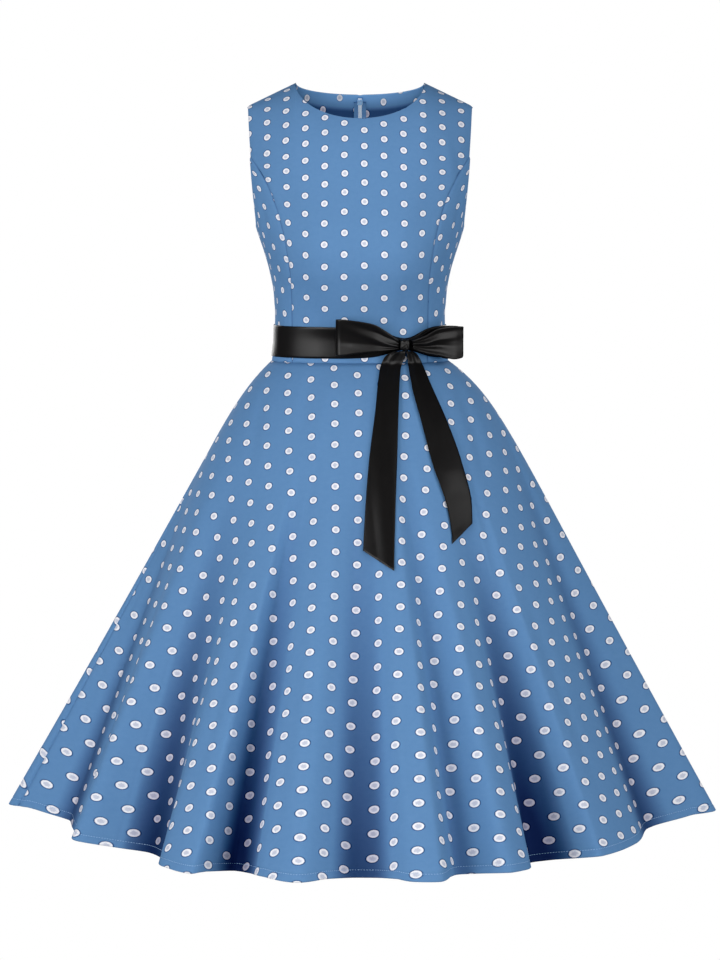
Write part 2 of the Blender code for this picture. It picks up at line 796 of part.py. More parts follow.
def main():
    for existing in list(bpy.data.objects):
        bpy.data.objects.remove(existing, do_unlink=True)
    dress = new_collection(COLLECTION)
    cutters = new_collection("cutters")

    cloth = material("dotted_cotton", (0.125, 0.275, 0.560), 0.80)
    ribbon = material("black_satin", (0.012, 0.012, 0.014), 0.35)
    tape = material("zip_tape", (0.160, 0.310, 0.560), 0.75)
    coil = material("zip_coil", (0.620, 0.720, 0.860), 0.45)
    metal = material("zip_metal", (0.560, 0.640, 0.760), 0.35, 0.6)

    link(front_panel(), dress, cloth)
    for name, side in (("bodice_side_left", 1), ("bodice_side_right", -1)):
        link(side_panel(name, side), dress, cloth)
    for name, side in (("bodice_back_left", 1), ("bodice_back_right", -1)):
        link(back_panel(name, side), dress, cloth)
    link(skirt_panel("skirt_front", -90, 90), dress, cloth)
    link(skirt_panel("skirt_back_left", 90, 180), dress, cloth)
    link(skirt_panel("skirt_back_right", -180, -90), dress, cloth)

    link(sash_band(), dress, ribbon)
    link(bow_knot(), dress, ribbon)
    link(bow_loop("bow_loop_left", 1, LEFT_LOOP_END, LEFT_LOOP), dress, ribbon)
    link(bow_loop("bow_loop_right", -1, RIGHT_LOOP_END, RIGHT_LOOP), dress, ribbon)
    link(bow_tail("bow_tail_left", LEFT_TAIL, LEFT_TAIL_SLANT), dress, ribbon)
    link(bow_tail("bow_tail_right", RIGHT_TAIL, RIGHT_TAIL_SLANT), dress, ribbon)

    inside = CLOTH + TAPE_STAND_OFF
    edge = ZIP_GAP / 2
    link(zip_strip("zip_tape_left", edge, TAPE_HALF_WIDTH, inside, TAPE), dress, tape)
    link(zip_strip("zip_tape_right", -TAPE_HALF_WIDTH, -edge, inside, TAPE), dress, tape)
    link(zip_strip("zip_coil", -COIL_HALF_WIDTH, COIL_HALF_WIDTH,
                   inside + TAPE + SEAM_GAP, COIL_HEIGHT, skip=3), dress, coil)
    link(zip_slider(cutters), dress, metal)
    link(zip_pull_tab(), dress, metal)


main()
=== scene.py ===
import math

import bpy
import numpy as np
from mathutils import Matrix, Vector


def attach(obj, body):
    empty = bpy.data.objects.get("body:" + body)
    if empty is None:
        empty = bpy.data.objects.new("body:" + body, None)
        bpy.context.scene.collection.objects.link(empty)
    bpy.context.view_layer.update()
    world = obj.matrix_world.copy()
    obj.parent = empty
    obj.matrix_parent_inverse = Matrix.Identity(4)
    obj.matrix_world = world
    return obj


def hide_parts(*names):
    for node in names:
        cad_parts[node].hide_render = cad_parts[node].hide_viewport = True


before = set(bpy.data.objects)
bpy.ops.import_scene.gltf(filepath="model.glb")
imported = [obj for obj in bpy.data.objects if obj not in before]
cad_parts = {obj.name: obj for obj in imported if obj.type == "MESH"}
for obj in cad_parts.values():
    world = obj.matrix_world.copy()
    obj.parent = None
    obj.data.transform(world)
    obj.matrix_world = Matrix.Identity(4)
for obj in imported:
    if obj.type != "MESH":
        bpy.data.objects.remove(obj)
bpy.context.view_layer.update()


# Studio
# A photographer's white room: a wide pale floor well under the hem, a white backdrop all round, and
# tall soft boxes in front and behind, so that folds are light on top and dark inside, deepened by
# painted shade in the cloth. A small lamp in the neck lights the inside of the back. Sizes are in
# metres, from the middle of the shoulders.
CAMERA_DISTANCE = 3.8
CAMERA_LEVEL = -0.170
CAMERA_PITCH = math.radians(3.5)
CAMERA_SENSOR = 36.0
PHOTO_FOCAL = 2940
PHOTO_LONG_SIDE = 960
PHOTO_FRAMING_DROP = 85
FLOOR_LEVEL = -1.45
FLOOR_RADIUS = 3.4
FLOOR_FADE = 0.8
ROOM_LIGHT = 0.10
WHITE = (1.0, 1.0, 1.0, 1.0)
CONTRAST = ((0.013, 0.003), (0.05, 0.036), (0.13, 0.116), (0.3, 0.288), (0.6, 0.594))
DRESS_MIDDLE = (0.0, 0.0, -0.5)
BACK_NECK = (0.0, 0.090, -0.010)
LAMPS = (
    # name, place, what it lights, width, height, power
    ("lamp_left", (-2.5, -2.0, -0.1), DRESS_MIDDLE, 2.0, 3.0, 58.0),
    ("lamp_right", (2.6, -1.8, -0.1), DRESS_MIDDLE, 2.2, 3.0, 67.0),
    ("lamp_front", (-0.2, -4.5, 0.5), DRESS_MIDDLE, 2.0, 1.0, 50.0),
    ("lamp_strip", (-2.0, -2.9, 0.0), DRESS_MIDDLE, 0.5, 2.4, 28.0),
    ("lamp_back_left", (-1.3, 3.5, 0.3), DRESS_MIDDLE, 1.5, 2.6, 55.0),
    ("lamp_back_right", (1.3, 3.5, 0.3), DRESS_MIDDLE, 1.5, 2.6, 45.0),
    ("lamp_neck", (0.0, 0.0, -0.100), BACK_NECK, 0.08, 0.04, 0.040),
)

scene = bpy.context.scene
scene.view_settings.view_transform = "Standard"
scene.view_settings.use_curve_mapping = True
contrast = scene.view_settings.curve_mapping
for brightness, shown in CONTRAST:
    contrast.curves[3].points.new(brightness, shown)  # the fourth curve is for all colours alike
contrast.update()
camera_data = bpy.data.cameras.new("camera")
camera_data.sensor_width = CAMERA_SENSOR
camera_data.lens = CAMERA_SENSOR * PHOTO_FOCAL / PHOTO_LONG_SIDE
camera_data.shift_y = -PHOTO_FRAMING_DROP / PHOTO_LONG_SIDE
camera = bpy.data.objects.new("camera", camera_data)
camera.location = (0.0, -CAMERA_DISTANCE, CAMERA_LEVEL)
camera.rotation_euler = (math.pi / 2 - CAMERA_PITCH, 0.0, 0.0)
scene.collection.objects.link(camera)
scene.camera = camera


class Wire:
    """One output of a material's nodes. Sums on it add the nodes that work them out."""

    def __init__(self, tree, socket=None):
        self.tree = tree
        self.socket = socket

    def node(self, kind, settings, sockets, out=0):
        """A node of any kind: its settings first, then values or links for its sockets."""
        made = self.tree.nodes.new(kind)
        for name, value in settings.items():
            setattr(made, name, value)
        for name, value in sockets.items():
            if isinstance(value, Wire):
                self.tree.links.new(value.socket, made.inputs[name])
            else:
                made.inputs[name].default_value = value
        return Wire(self.tree, made.outputs[out])

    def sum(self, operation, *values):
        return self.node("ShaderNodeMath", {"operation": operation}, dict(enumerate(values)))

    def __add__(self, other):
        return self.sum("ADD", self, other)

    def __sub__(self, other):
        return self.sum("SUBTRACT", self, other)

    def __rsub__(self, other):
        return self.sum("SUBTRACT", other, self)

    def __mul__(self, other):
        return self.sum("MULTIPLY", self, other)

    def __truediv__(self, other):
        return self.sum("DIVIDE", self, other)

    def __pow__(self, other):
        return self.sum("POWER", self, other)

    __radd__ = __add__
    __rmul__ = __mul__

    def floor(self):
        return self.sum("FLOOR", self)

    def near(self, full, none):
        """1 up to full and 0 past none, with a soft step between."""
        return self.node("ShaderNodeMapRange", {"interpolation_type": "SMOOTHSTEP"},
                         {0: self, 1: full, 2: none, 3: 1.0, 4: 0.0})

    def blend(self, first, second):
        """Colour that goes from the first to the second as this value goes from 0 to 1."""
        return self.node("ShaderNodeMix", {"data_type": "RGBA"}, {0: self, 6: first, 7: second}, 2)

    def noise(self, where, scale, detail, roughness=0.5):
        return self.node("ShaderNodeTexNoise", {},
                         {"Vector": where, "Scale": scale, "Detail": detail, "Roughness": roughness})

    def stretch(self, scale):
        return self.node("ShaderNodeMapping", {}, {"Vector": self, "Scale": scale})

    def part(self, axis):
        return self.node("ShaderNodeSeparateXYZ", {}, {0: self}, axis)

    def place(self):
        """Where a point lies in the dress, in metres."""
        return self.node("ShaderNodeTexCoord", {}, {}, "Object")

    def cut(self):
        """Where a point lies on its panel's flat cut, in metres."""
        return self.node("ShaderNodeUVMap", {"uv_map": "cut"}, {})

    def carried(self, name):
        """A value that the piece's own points carry."""
        return self.node("ShaderNodeAttribute", {"attribute_name": name}, {}, "Fac")


def finish(name, **fixed):
    """A material with its Principled shader's fixed values, and a first wire to work from."""
    made = bpy.data.materials.new(name)
    made.use_nodes = True
    shader = made.node_tree.nodes["Principled BSDF"]
    for socket, value in fixed.items():
        shader.inputs[socket.replace("_", " ")].default_value = value
    return made, Wire(made.node_tree), shader


def feed(shader, **wires):
    for socket, wire in wires.items():
        wire.tree.links.new(wire.socket, shader.inputs[socket.replace("_", " ")])


def bump(height, distance, strength):
    return height.node("ShaderNodeBump", {},
                       {"Strength": strength, "Distance": distance, "Height": height})


floor_finish, wire, shader = finish("studio_floor", Roughness=0.9)
where = wire.place()
mottled = wire.noise(where, 0.8, 3.0)
feed(shader, Base_Color=mottled.blend((0.86, 0.86, 0.85, 1.0), (0.90, 0.90, 0.89, 1.0)))
from_middle = wire.node("ShaderNodeVectorMath", {"operation": "LENGTH"}, {0: where}, "Value")
seen = wire.node("ShaderNodeLightPath", {}, {}, "Is Camera Ray")
glow = wire.node("ShaderNodeEmission", {},
                 {"Color": WHITE, "Strength": seen * (1.0 - ROOM_LIGHT) + ROOM_LIGHT})
faded = wire.node("ShaderNodeMixShader", {}, {
    0: from_middle.near(FLOOR_FADE, 0.0), 1: Wire(wire.tree, shader.outputs[0]), 2: glow})
wire.tree.links.new(faded.socket, wire.tree.nodes["Material Output"].inputs["Surface"])
bpy.ops.mesh.primitive_circle_add(vertices=96, radius=FLOOR_RADIUS, fill_type="NGON",
                                  location=(0.0, 0.0, FLOOR_LEVEL))
floor = bpy.context.object
floor.name = "floor"
floor.data.materials.append(floor_finish)

room = bpy.data.worlds.new("white_room")
room.use_nodes = True
wire = Wire(room.node_tree)
soft = room.node_tree.nodes["Background"]
soft.inputs["Color"].default_value = (0.97, 0.98, 1.0, 1.0)
soft.inputs["Strength"].default_value = ROOM_LIGHT
white = wire.node("ShaderNodeBackground", {}, {"Color": WHITE, "Strength": 1.0})
seen = wire.node("ShaderNodeLightPath", {}, {}, "Is Camera Ray")
both = wire.node("ShaderNodeMixShader", {}, {0: seen, 1: Wire(wire.tree, soft.outputs[0]), 2: white})
wire.tree.links.new(both.socket, room.node_tree.nodes["World Output"].inputs["Surface"])
scene.world = room

for name, place, lit, width, height, power in LAMPS:
    lamp = bpy.data.lights.new(name, "AREA")
    lamp.shape = "RECTANGLE"
    lamp.size = width
    lamp.size_y = height
    lamp.energy = power
    holder = bpy.data.objects.new(name, lamp)
    holder.location = place
    holder.rotation_euler = (Vector(lit) - Vector(place)).to_track_quat("-Z", "Y").to_euler()
    holder.visible_camera = False
    scene.collection.objects.link(holder)


# Dotted cotton
# One printed cotton for bodice and skirt: a plain weave in mid blue, with staggered white dots that
# have a pale grey middle and a thin darker edge where the print overlaps. Dyed through, so both
# faces show the print. The pattern follows each panel's own cut, in metres.
DOT_ACROSS = 0.0248
DOT_DOWN = 0.0290
DOT_RADIUS = 0.0042
DOT_MIDDLE = 0.0025
DOT_EDGE = 0.0009
DOT_SLIP = 0.0008
DOT_BLUR = 0.0002
DOT_RAGGED = 0.0006
MIDDLE_RAGGED = 0.0045
COTTON_BLUE = (0.134, 0.272, 0.490, 1.0)
COTTON_DEEP = (0.112, 0.240, 0.455, 1.0)
COTTON_EDGE = (0.034, 0.090, 0.225, 1.0)
PRINT_WHITE = (0.84, 0.85, 0.90, 1.0)
PRINT_GREY = (0.56, 0.59, 0.70, 1.0)
# Tints for painted shade and painted light on the cloth
PAINTED_SHADE_TINT = (0.125, 0.112, 0.172, 1.0)
PAINTED_SHADE_STEEPNESS = 1.6
PAINTED_LIGHT_TINT = (0.210, 0.440, 0.800, 1.0)
PAINTED_LIGHT_SHARE = 0.8
THREAD = 0.00038


def dotted_cotton():
    """The cotton. A panel's points carry its painted shading: above 0 a painted shade, deeper blue, and
    below 0 a painted light, paler blue. They also carry its swell and squeeze, by which its dots are
    wider and taller.
    """
    made, wire, shader = finish("dotted_cotton", Sheen_Weight=0.03, Sheen_Tint=(0.35, 0.55, 0.9, 1.0),
                                Specular_IOR_Level=0.1)
    cut = wire.cut()
    across = cut.part("X") / DOT_ACROSS
    down = cut.part("Y") / DOT_DOWN
    column = (across + 0.5).floor()
    stagger = wire.sum("PINGPONG", column, 1.0) * 0.5
    row = (down + stagger + 0.5).floor()
    cell = wire.node("ShaderNodeCombineXYZ", {}, {0: column, 1: row})
    chance = wire.node("ShaderNodeTexWhiteNoise", {"noise_dimensions": "2D"}, {"Vector": cell}, "Color")
    slip_across = (chance.part("X") - 0.5) * DOT_SLIP
    slip_down = (chance.part("Y") - 0.5) * DOT_SLIP
    beside = ((across - column) * DOT_ACROSS + slip_across) / (wire.carried("swell") + 1.0)
    above = ((down + stagger - row) * DOT_DOWN + slip_down) / (wire.carried("squeeze") + 1.0)
    ragged = (wire.noise(cut, 900.0, 2.0) - 0.5) * DOT_RAGGED
    reach = wire.sum("SQRT", beside * beside + above * above) + ragged
    dot = reach.near(DOT_RADIUS - DOT_BLUR, DOT_RADIUS + DOT_BLUR)
    worn = (wire.noise(cut, 620.0, 3.0, 0.6) - 0.5) * MIDDLE_RAGGED
    middle = (reach + worn).near(DOT_MIDDLE - 0.0010, DOT_MIDDLE + 0.0006)
    edge = reach.near(DOT_RADIUS + DOT_EDGE * 0.5, DOT_RADIUS + DOT_EDGE * 1.5)
    slubs = (wire.noise(cut.stretch((60.0, 900.0, 1.0)), 1.0, 3.0)
             + wire.noise(cut.stretch((900.0, 60.0, 1.0)), 1.0, 3.0)) * 0.5
    mottle = (wire.noise(cut, 160.0, 4.0, 0.6) - 0.5) * 2.4 + 0.5
    blue = (slubs * 0.6 + mottle * 0.4).blend(COTTON_DEEP, COTTON_BLUE)
    printed = dot.blend(edge.blend(blue, COTTON_EDGE), middle.blend(PRINT_WHITE, PRINT_GREY))
    # Painted shade and painted light: above 0 the carried value darkens the cloth, less on the dots, and
    # below 0 it pales it
    hollow = wire.carried("hollow")
    printed = (hollow * -PAINTED_LIGHT_SHARE * (1 - dot)).blend(printed, PAINTED_LIGHT_TINT)
    depth = wire.sum("MAXIMUM", hollow, 0.0) ** PAINTED_SHADE_STEEPNESS * (1 - dot * 0.6)
    painted_shade_colour = wire.node("ShaderNodeGamma", {}, {"Color": PAINTED_SHADE_TINT, "Gamma": depth})
    printed = wire.node("ShaderNodeMix", {"data_type": "RGBA", "blend_type": "MULTIPLY"},
                        {0: 1.0, 6: printed, 7: painted_shade_colour}, 2)
    warp = wire.sum("SINE", cut.part("X") * (2 * math.pi / THREAD))
    weft = wire.sum("SINE", cut.part("Y") * (2 * math.pi / THREAD))
    weave = warp * weft * 0.25 + slubs
    feed(shader, Base_Color=printed, Roughness=0.86 - dot * 0.10, Normal=bump(weave, 0.00006, 0.5))
    return made


cotton = dotted_cotton()


# Panel making
# A cloth panel is a thin shell: its outer face is a grid of points, its inner face the same grid
# moved in, with a rounded turned edge all round, and its map is the flat cut in metres.
COTTON_THICKNESS = 0.0011
TURNED_EDGE = 0.35


class Table:
    """Rows of sizes with named columns, read smoothly between the rows by the first column."""

    def __init__(self, names, rows):
        self.names = names.split()
        self.rows = np.array(sorted(rows), float)
        self.keys = self.rows[:, 0]
        slopes = np.diff(self.rows, axis=0) / np.diff(self.keys)[:, None]
        before, after = slopes[:-1], slopes[1:]
        both = np.where(before * after > 0, before + after, 1.0)
        middle = np.where(before * after > 0, 2 * before * after / both, 0.0)
        self.slopes = np.vstack([slopes[:1], middle, slopes[-1:]])

    def read(self, name, key):
        column = self.names.index(name)
        key = np.clip(key, self.keys[0], self.keys[-1])
        below = np.clip(np.searchsorted(self.keys, key, side="right") - 1, 0, len(self.keys) - 2)
        step = self.keys[below + 1] - self.keys[below]
        t = (key - self.keys[below]) / step
        low, high = self.rows[below, column], self.rows[below + 1, column]
        start, end = self.slopes[below, column] * step, self.slopes[below + 1, column] * step
        return (low + start * t * (1 - t) ** 2 + (high - low) * t * t * (3 - 2 * t)
                + end * t * t * (t - 1))


def unit(vectors):
    return vectors / np.maximum(np.linalg.norm(vectors, axis=-1, keepdims=True), 1e-12)


def grid_normals(points):
    """Normals that face away from the dress, on a grid with rows going down and columns to +X."""
    return unit(np.cross(np.gradient(points, axis=0), np.gradient(points, axis=1)))


def lengths(points, axis):
    """Distance along each row or column of a grid from its first point."""
    steps = np.linalg.norm(np.diff(points, axis=axis), axis=-1)
    first = np.zeros_like(steps.take([0], axis=axis))
    return np.concatenate([first, np.cumsum(steps, axis=axis)], axis=axis)


def piece_from(name, points, faces, cut, material):
    """A smooth piece from its points and faces, with each point's place on the flat cut."""
    mesh = bpy.data.meshes.new(name)
    mesh.from_pydata(points.tolist(), [], faces)
    corners = np.zeros(len(mesh.loops), np.int32)
    mesh.loops.foreach_get("vertex_index", corners)
    mesh.uv_layers.new(name="cut").data.foreach_set("uv", cut[corners].astype(np.float32).ravel())
    mesh.shade_smooth()
    mesh.materials.append(material)
    made = bpy.data.objects.new(name, mesh)
    scene.collection.objects.link(made)
    return made


def shell(name, outer, normals, thickness, cut, material, **shades):
    """Closed thin cloth from a grid of outer points, with its cut as its map.

    A shade is a pair of grids of values, for the outer face and the inner one.
    """
    rows, columns = outer.shape[:2]
    size = rows * columns
    index = np.arange(size).reshape(rows, columns)
    ring = np.concatenate([index[0], index[1:, -1], index[-1, -2::-1], index[-2:0:-1, 0]])
    beside = outer[np.clip(ring // columns, 1, rows - 2), np.clip(ring % columns, 1, columns - 2)]
    inner = (outer - normals * thickness).reshape(-1, 3)
    outer = outer.reshape(-1, 3)
    width = np.linalg.norm(outer[ring] - inner[ring], axis=-1, keepdims=True)
    turned = (outer[ring] + inner[ring]) / 2 + unit(outer[ring] - beside) * width * TURNED_EDGE
    corners = np.stack([index[:-1, :-1], index[:-1, 1:], index[1:, 1:], index[1:, :-1]], axis=-1)
    corners = corners.reshape(-1, 4)
    edge = 2 * size + np.arange(len(ring))
    after, edge_after = np.roll(ring, -1), np.roll(edge, -1)
    faces = np.concatenate([corners[:, ::-1], corners + size,
                            np.stack([ring, after, edge_after, edge], axis=-1),
                            np.stack([edge, edge_after, after + size, ring + size], axis=-1)])
    flat = cut.reshape(-1, 2)
    made = piece_from(name, np.concatenate([outer, inner, turned]), faces.tolist(),
                      np.concatenate([flat, flat, flat[ring]]), material)
    for shade, (outside, inside) in shades.items():
        values = np.concatenate([outside.ravel(), inside.ravel(), outside.ravel()[ring]])
        carried = made.data.attributes.new(shade, "FLOAT", "POINT")
        carried.data.foreach_set("value", values.astype(np.float32))
    return made


def stands_for(piece, node):
    """The piece goes with the dress, in the place of its plain solid."""
    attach(piece, "dress")
    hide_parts(node)


def creased(points, normals, creases):
    """Moves a grid along its normals by soft troughs and ridges.

    A crease runs from one place to another, as distances out and levels seen from its own side.
    Its width, height and bow are in metres, and it fades towards both ends.
    """
    moved = np.zeros(points.shape[:2])
    place = points[..., (0, 2)]
    for x0, z0, x1, z1, width, height, bow in creases:
        start, run = np.array((x0, z0)), np.array((x1 - x0, z1 - z0))
        length = np.linalg.norm(run)
        along = np.clip(((place - start) @ run) / length ** 2, 0, 1)
        aside = ((place - start) @ np.array((-run[1], run[0]))) / length
        aside = aside - bow * np.sin(np.pi * along)
        moved += height * np.sin(np.pi * along) ** 0.7 * np.exp(-(aside / width) ** 2)
    return points + normals * moved[..., None]


def other_side(creases):
    """The same creases on the other side of the body."""
    return [(-start, start_level, -end, end_level, *sizes)
            for start, start_level, end, end_level, *sizes in creases]


# Bodice, centre front and side fronts
# Three cotton panels: the centre front cut in one, and a side front to each side of it, joined in
# princess seams that curve from the armhole over the bust to the waist. Edges are turned in.
FRONT = -1
BACK = 1
UNDERARM = -0.185
PRINCESS_TOP = -0.095
WAIST = -0.357
NECK_HALF_WIDTH = 0.0825
NECK_DROP = {FRONT: 0.048, BACK: 0.013}
SHOULDER_TIP = 0.145
SHOULDER_SLOPE = 0.030 / (SHOULDER_TIP - NECK_HALF_WIDTH)
SHOULDER_ROUND = {FRONT: 0.115, BACK: 0.085}
BUST_OUT = 0.072
BUST_LEVEL = -0.224
BUST_FULLNESS = 0.011
BUST_SPREAD = 0.036
ROUNDNESS = 2.3
SEAM_GAP = 0.0003
SEAM_DEPTH = 0.0013
SEAM_REACH = 0.0022
# Painted shade along the seams
SEAM_SHADE = 0.32
SEAM_SHADE_REACH = 0.0010
# Painted light and shade on the panels' inner face: painted light at the top edge, painted shade from a
# little way down
INSIDE_LIGHT = -1.25
INSIDE_SHADE = 0.70
INSIDE_SHADE_BELOW = 0.034
INSIDE_STEEPNESS = 1.3

# The print closes up a little towards the neck: its rise and reach are along the cut. On the
# centre front it runs straight across above the bust, from one level to the other.
PRINT_WIDTH = 0.985
PRINT_RISE = 0.7022
PRINT_REACH = 0.8281
PRINT_EVEN_ABOVE = 0.30
PRINT_BENT_BELOW = -0.200
PRINT_STRAIGHT_ABOVE = -0.090
PRINT_STRAIGHT_WIDTH = 1.02
BACK_PRINT = (1.12, 0.92)
BACK_PRINT_LEAST = 0.60

BODY = Table("level half_width front_depth back_depth", (
    (0.000, 0.1500, 0.098, 0.096),
    (-0.050, 0.1492, 0.101, 0.101),
    (-0.100, 0.1470, 0.106, 0.105),
    (-0.150, 0.1415, 0.115, 0.109),
    (-0.185, 0.1338, 0.123, 0.109),
    (-0.215, 0.1240, 0.125, 0.106),
    (-0.240, 0.1170, 0.121, 0.101),
    (-0.270, 0.1112, 0.109, 0.093),
    (-0.300, 0.1100, 0.096, 0.085),
    (-0.330, 0.1110, 0.088, 0.082),
    (-0.357, 0.1140, 0.087, 0.084),
))

ARMHOLE = Table("level edge", (
    (-0.030, 0.1450),
    (-0.060, 0.1434),
    (-0.095, 0.1410),
    (-0.130, 0.1382),
    (-0.160, 0.1352),
    (-0.175, 0.1338),
    (-0.181, 0.1333),
    (-0.185, 0.1338),
))

PRINCESS_SEAM = Table("level out", (
    (-0.095, 0.1410),
    (-0.110, 0.1310),
    (-0.138, 0.1150),
    (-0.172, 0.1025),
    (-0.212, 0.0935),
    (-0.258, 0.0880),
    (-0.310, 0.0870),
    (-0.357, 0.0870),
))


def shoulder_level(out):
    return -SHOULDER_SLOPE * np.maximum(np.abs(out) - NECK_HALF_WIDTH, 0.0)


def top_level(out, face):
    """Level of the neckline or of the shoulder seam, at a distance out from the centre."""
    curve = np.sqrt(np.maximum(1 - (out / NECK_HALF_WIDTH) ** 2, 0.0))
    return shoulder_level(out) - NECK_DROP[face] * curve


def bust(out, level):
    """How far forward the cloth stands over the bust."""
    aside = (np.abs(out) - BUST_OUT) / BUST_SPREAD
    below = (level - BUST_LEVEL) / BUST_SPREAD
    return BUST_FULLNESS * np.exp(-(aside ** 2 + 0.7 * below ** 2) / 2)


def body_point(angle, level, face):
    """Point on the bodice's outer face: angle 0 is the centre and a quarter turn the side."""
    sine = np.sin(angle)
    cosine = np.maximum(np.cos(angle), 0.0)
    out = np.sign(sine) * np.abs(sine) ** (2 / ROUNDNESS) * BODY.read("half_width", level)
    depth = BODY.read("front_depth" if face == FRONT else "back_depth", level)
    depth = depth * cosine ** (2 / ROUNDNESS)
    if face == FRONT:
        depth = depth + bust(out, level) * cosine
    share = np.clip((shoulder_level(out) - level) / SHOULDER_ROUND[face], 0.0, 1.0)
    depth = depth * np.sqrt(1 - (1 - share) ** 2)
    return np.stack([out, face * depth, level + out * 0], axis=-1)


def body_normal(angle, level, face):
    step = 0.0004
    point = body_point(angle, level, face)
    above = body_point(angle, level + step, face)
    below = body_point(angle, level - step, face)
    turn = body_point(angle + step, level, face) - body_point(angle - step, level, face)
    normal = unit(np.cross(turn, below - above) * face)
    taper = (np.abs(above[..., 0]) - np.abs(below[..., 0])) / (2 * step)
    side = unit(np.stack([np.sign(angle) + 0 * taper, 0 * taper, -taper], axis=-1))
    normal = np.where((np.abs(angle) > math.pi / 2 - step)[..., None], side, normal)
    at_shoulder = shoulder_level(point[..., 0]) - point[..., 2] < step
    return np.where(at_shoulder[..., None], np.array((0.0, 0.0, 1.0)), normal)


def body_angle(out, level):
    share = np.minimum(np.abs(out) / BODY.read("half_width", level), 1.0)
    return np.sign(out) * np.arcsin(share ** (ROUNDNESS / 2))


def armhole_angle(level):
    angle = body_angle(ARMHOLE.read("edge", level), level)
    return np.where(level <= UNDERARM, math.pi / 2, angle)


def princess_angle(level):
    return body_angle(PRINCESS_SEAM.read("out", level), level)


def front_edge_angle(level):
    return np.where(level < PRINCESS_TOP, princess_angle(level), armhole_angle(level))


def levels_down(tops, split, rows_above, rows_below):
    """Levels of every column: close together under the shoulder, then evenly to the waist."""
    upper = np.linspace(0, 1, rows_above, endpoint=False)[:, None] ** 1.6
    lower = np.linspace(0, 1, rows_below + 1)[:, None]
    return np.concatenate([tops + (split - tops) * upper, split + (WAIST - split) * lower + 0 * tops])


def seam_turn(points, normals):
    """Rolls a panel's first and last columns in, as the cloth turns into its seams.

    Also gives how much painted shade along the seam each point gets.
    """
    across = lengths(points, 1)
    aside = np.minimum(across, across[:, [-1]] - across)
    moved = SEAM_DEPTH * np.exp(-(aside / SEAM_REACH) ** 2)
    return points - normals * moved[..., None], np.exp(-(aside / SEAM_SHADE_REACH) ** 2)


def close_to_edges(values):
    """The same run of values with three more close to each end, for the turn into a seam."""
    extra = [values[end] + (values[beside] - values[end]) * share
             for end, beside in ((0, 1), (-1, -2)) for share in (0.12, 0.264, 0.54)]
    return np.sort(np.concatenate([values, extra]))


def straightened(across, points, levels):
    """Distances across the centre front, which run straight across above the bust."""
    outs = points[..., 0]
    seam_row = int(np.argmax(levels[:, levels.shape[1] // 2] < PRINCESS_TOP + 1e-6))
    across = np.where(levels > PRINCESS_TOP, np.interp(outs, outs[seam_row], across[seam_row]), across)
    share = np.clip((levels - PRINT_BENT_BELOW) / (PRINT_STRAIGHT_ABOVE - PRINT_BENT_BELOW), 0.0, 1.0)
    return across + (outs * PRINT_STRAIGHT_WIDTH - across) * share ** 2 * (3 - 2 * share)


def bodice_panel(name, node, face, angles, levels, creases, middle, place):
    """One bodice panel. Its print is measured from its middle column and the waist."""
    points = body_point(angles, levels, face)
    normals = body_normal(angles, levels, face)
    points = creased(points, normals, creases)
    points, seam = seam_turn(points, normals)
    down = lengths(points, 0)
    across = lengths(points, 1)
    across = across - across[:, [middle]]
    if face == FRONT:
        if node == "bodice_front":
            across = straightened(across, points, levels)
        up = down[[-1]] - down
        lower = np.minimum(up, PRINT_EVEN_ABOVE)
        higher = (up - lower) * PRINT_RISE / (PRINT_REACH - PRINT_EVEN_ABOVE)
        raised = higher - PRINT_RISE * np.log(1 - lower / PRINT_REACH)
        squeeze = PRINT_RISE / (PRINT_REACH - lower) - 1
        cut = np.stack([(across - place[0]) * PRINT_WIDTH, raised - place[1]], axis=-1)
    else:
        drops = np.maximum(-np.diff(points[..., 2], axis=0), np.diff(down, axis=0) * BACK_PRINT_LEAST)
        raised = np.cumsum(np.concatenate([drops, 0 * drops[:1]])[::-1], axis=0)[::-1]
        squeeze = 0 * raised
        cut = np.stack([(across - place[0]) * BACK_PRINT[0], raised * BACK_PRINT[1] - place[1]], axis=-1)
        points, normals, cut, seam, down = (grid[:, ::-1] for grid in (points, normals, cut, seam, down))
    # Painted light at the top of the inner face, turning to painted shade further down; painted shade
    # along the seams outside
    inside_shading_ramp = (down / INSIDE_SHADE_BELOW) ** INSIDE_STEEPNESS
    inside = np.minimum(INSIDE_LIGHT + (INSIDE_SHADE - INSIDE_LIGHT) * inside_shading_ramp, INSIDE_SHADE)
    piece = shell(name, points, normals, COTTON_THICKNESS, cut, cotton,
                  squeeze=(squeeze, squeeze), hollow=(seam * SEAM_SHADE, inside))
    stands_for(piece, node)


FRONT_CREASES = (
    # from out and level, to out and level, width, height, bow
    (0.118, -0.075, 0.129, -0.165, 0.0045, -0.0016, 0.002),
    (0.105, -0.060, 0.121, -0.150, 0.0070, 0.0014, 0.003),
    (-0.131, -0.070, -0.118, -0.150, 0.0050, -0.0013, -0.002),
    (-0.100, -0.110, -0.060, -0.215, 0.0120, -0.0012, -0.006),
    (0.095, -0.120, 0.055, -0.225, 0.0130, -0.0013, 0.006),
    (-0.070, -0.250, -0.040, -0.350, 0.0110, -0.0012, 0.002),
    (0.066, -0.245, 0.046, -0.340, 0.0100, -0.0012, -0.002),
    (-0.010, -0.150, 0.012, -0.300, 0.0160, 0.0010, 0.004),
    (-0.050, -0.060, -0.020, -0.120, 0.0100, 0.0008, 0.003),
    (0.070, -0.045, 0.035, -0.110, 0.0110, -0.0009, -0.003),
)

neck_outs = NECK_HALF_WIDTH * np.sin(np.linspace(0, math.pi / 2, 26, endpoint=False))
top_outs = np.concatenate([neck_outs, np.linspace(NECK_HALF_WIDTH, SHOULDER_TIP, 19)])
outs = close_to_edges(np.concatenate([-top_outs[:0:-1], top_outs]))
tops = top_level(outs, FRONT)
levels = levels_down(tops, PRINCESS_TOP, 44, 84)
angles = body_angle(outs, tops) / front_edge_angle(tops) * front_edge_angle(levels)
bodice_panel("centre_front", "bodice_front", FRONT, angles, levels, FRONT_CREASES, len(outs) // 2,
             (0.0055, 0.0634))

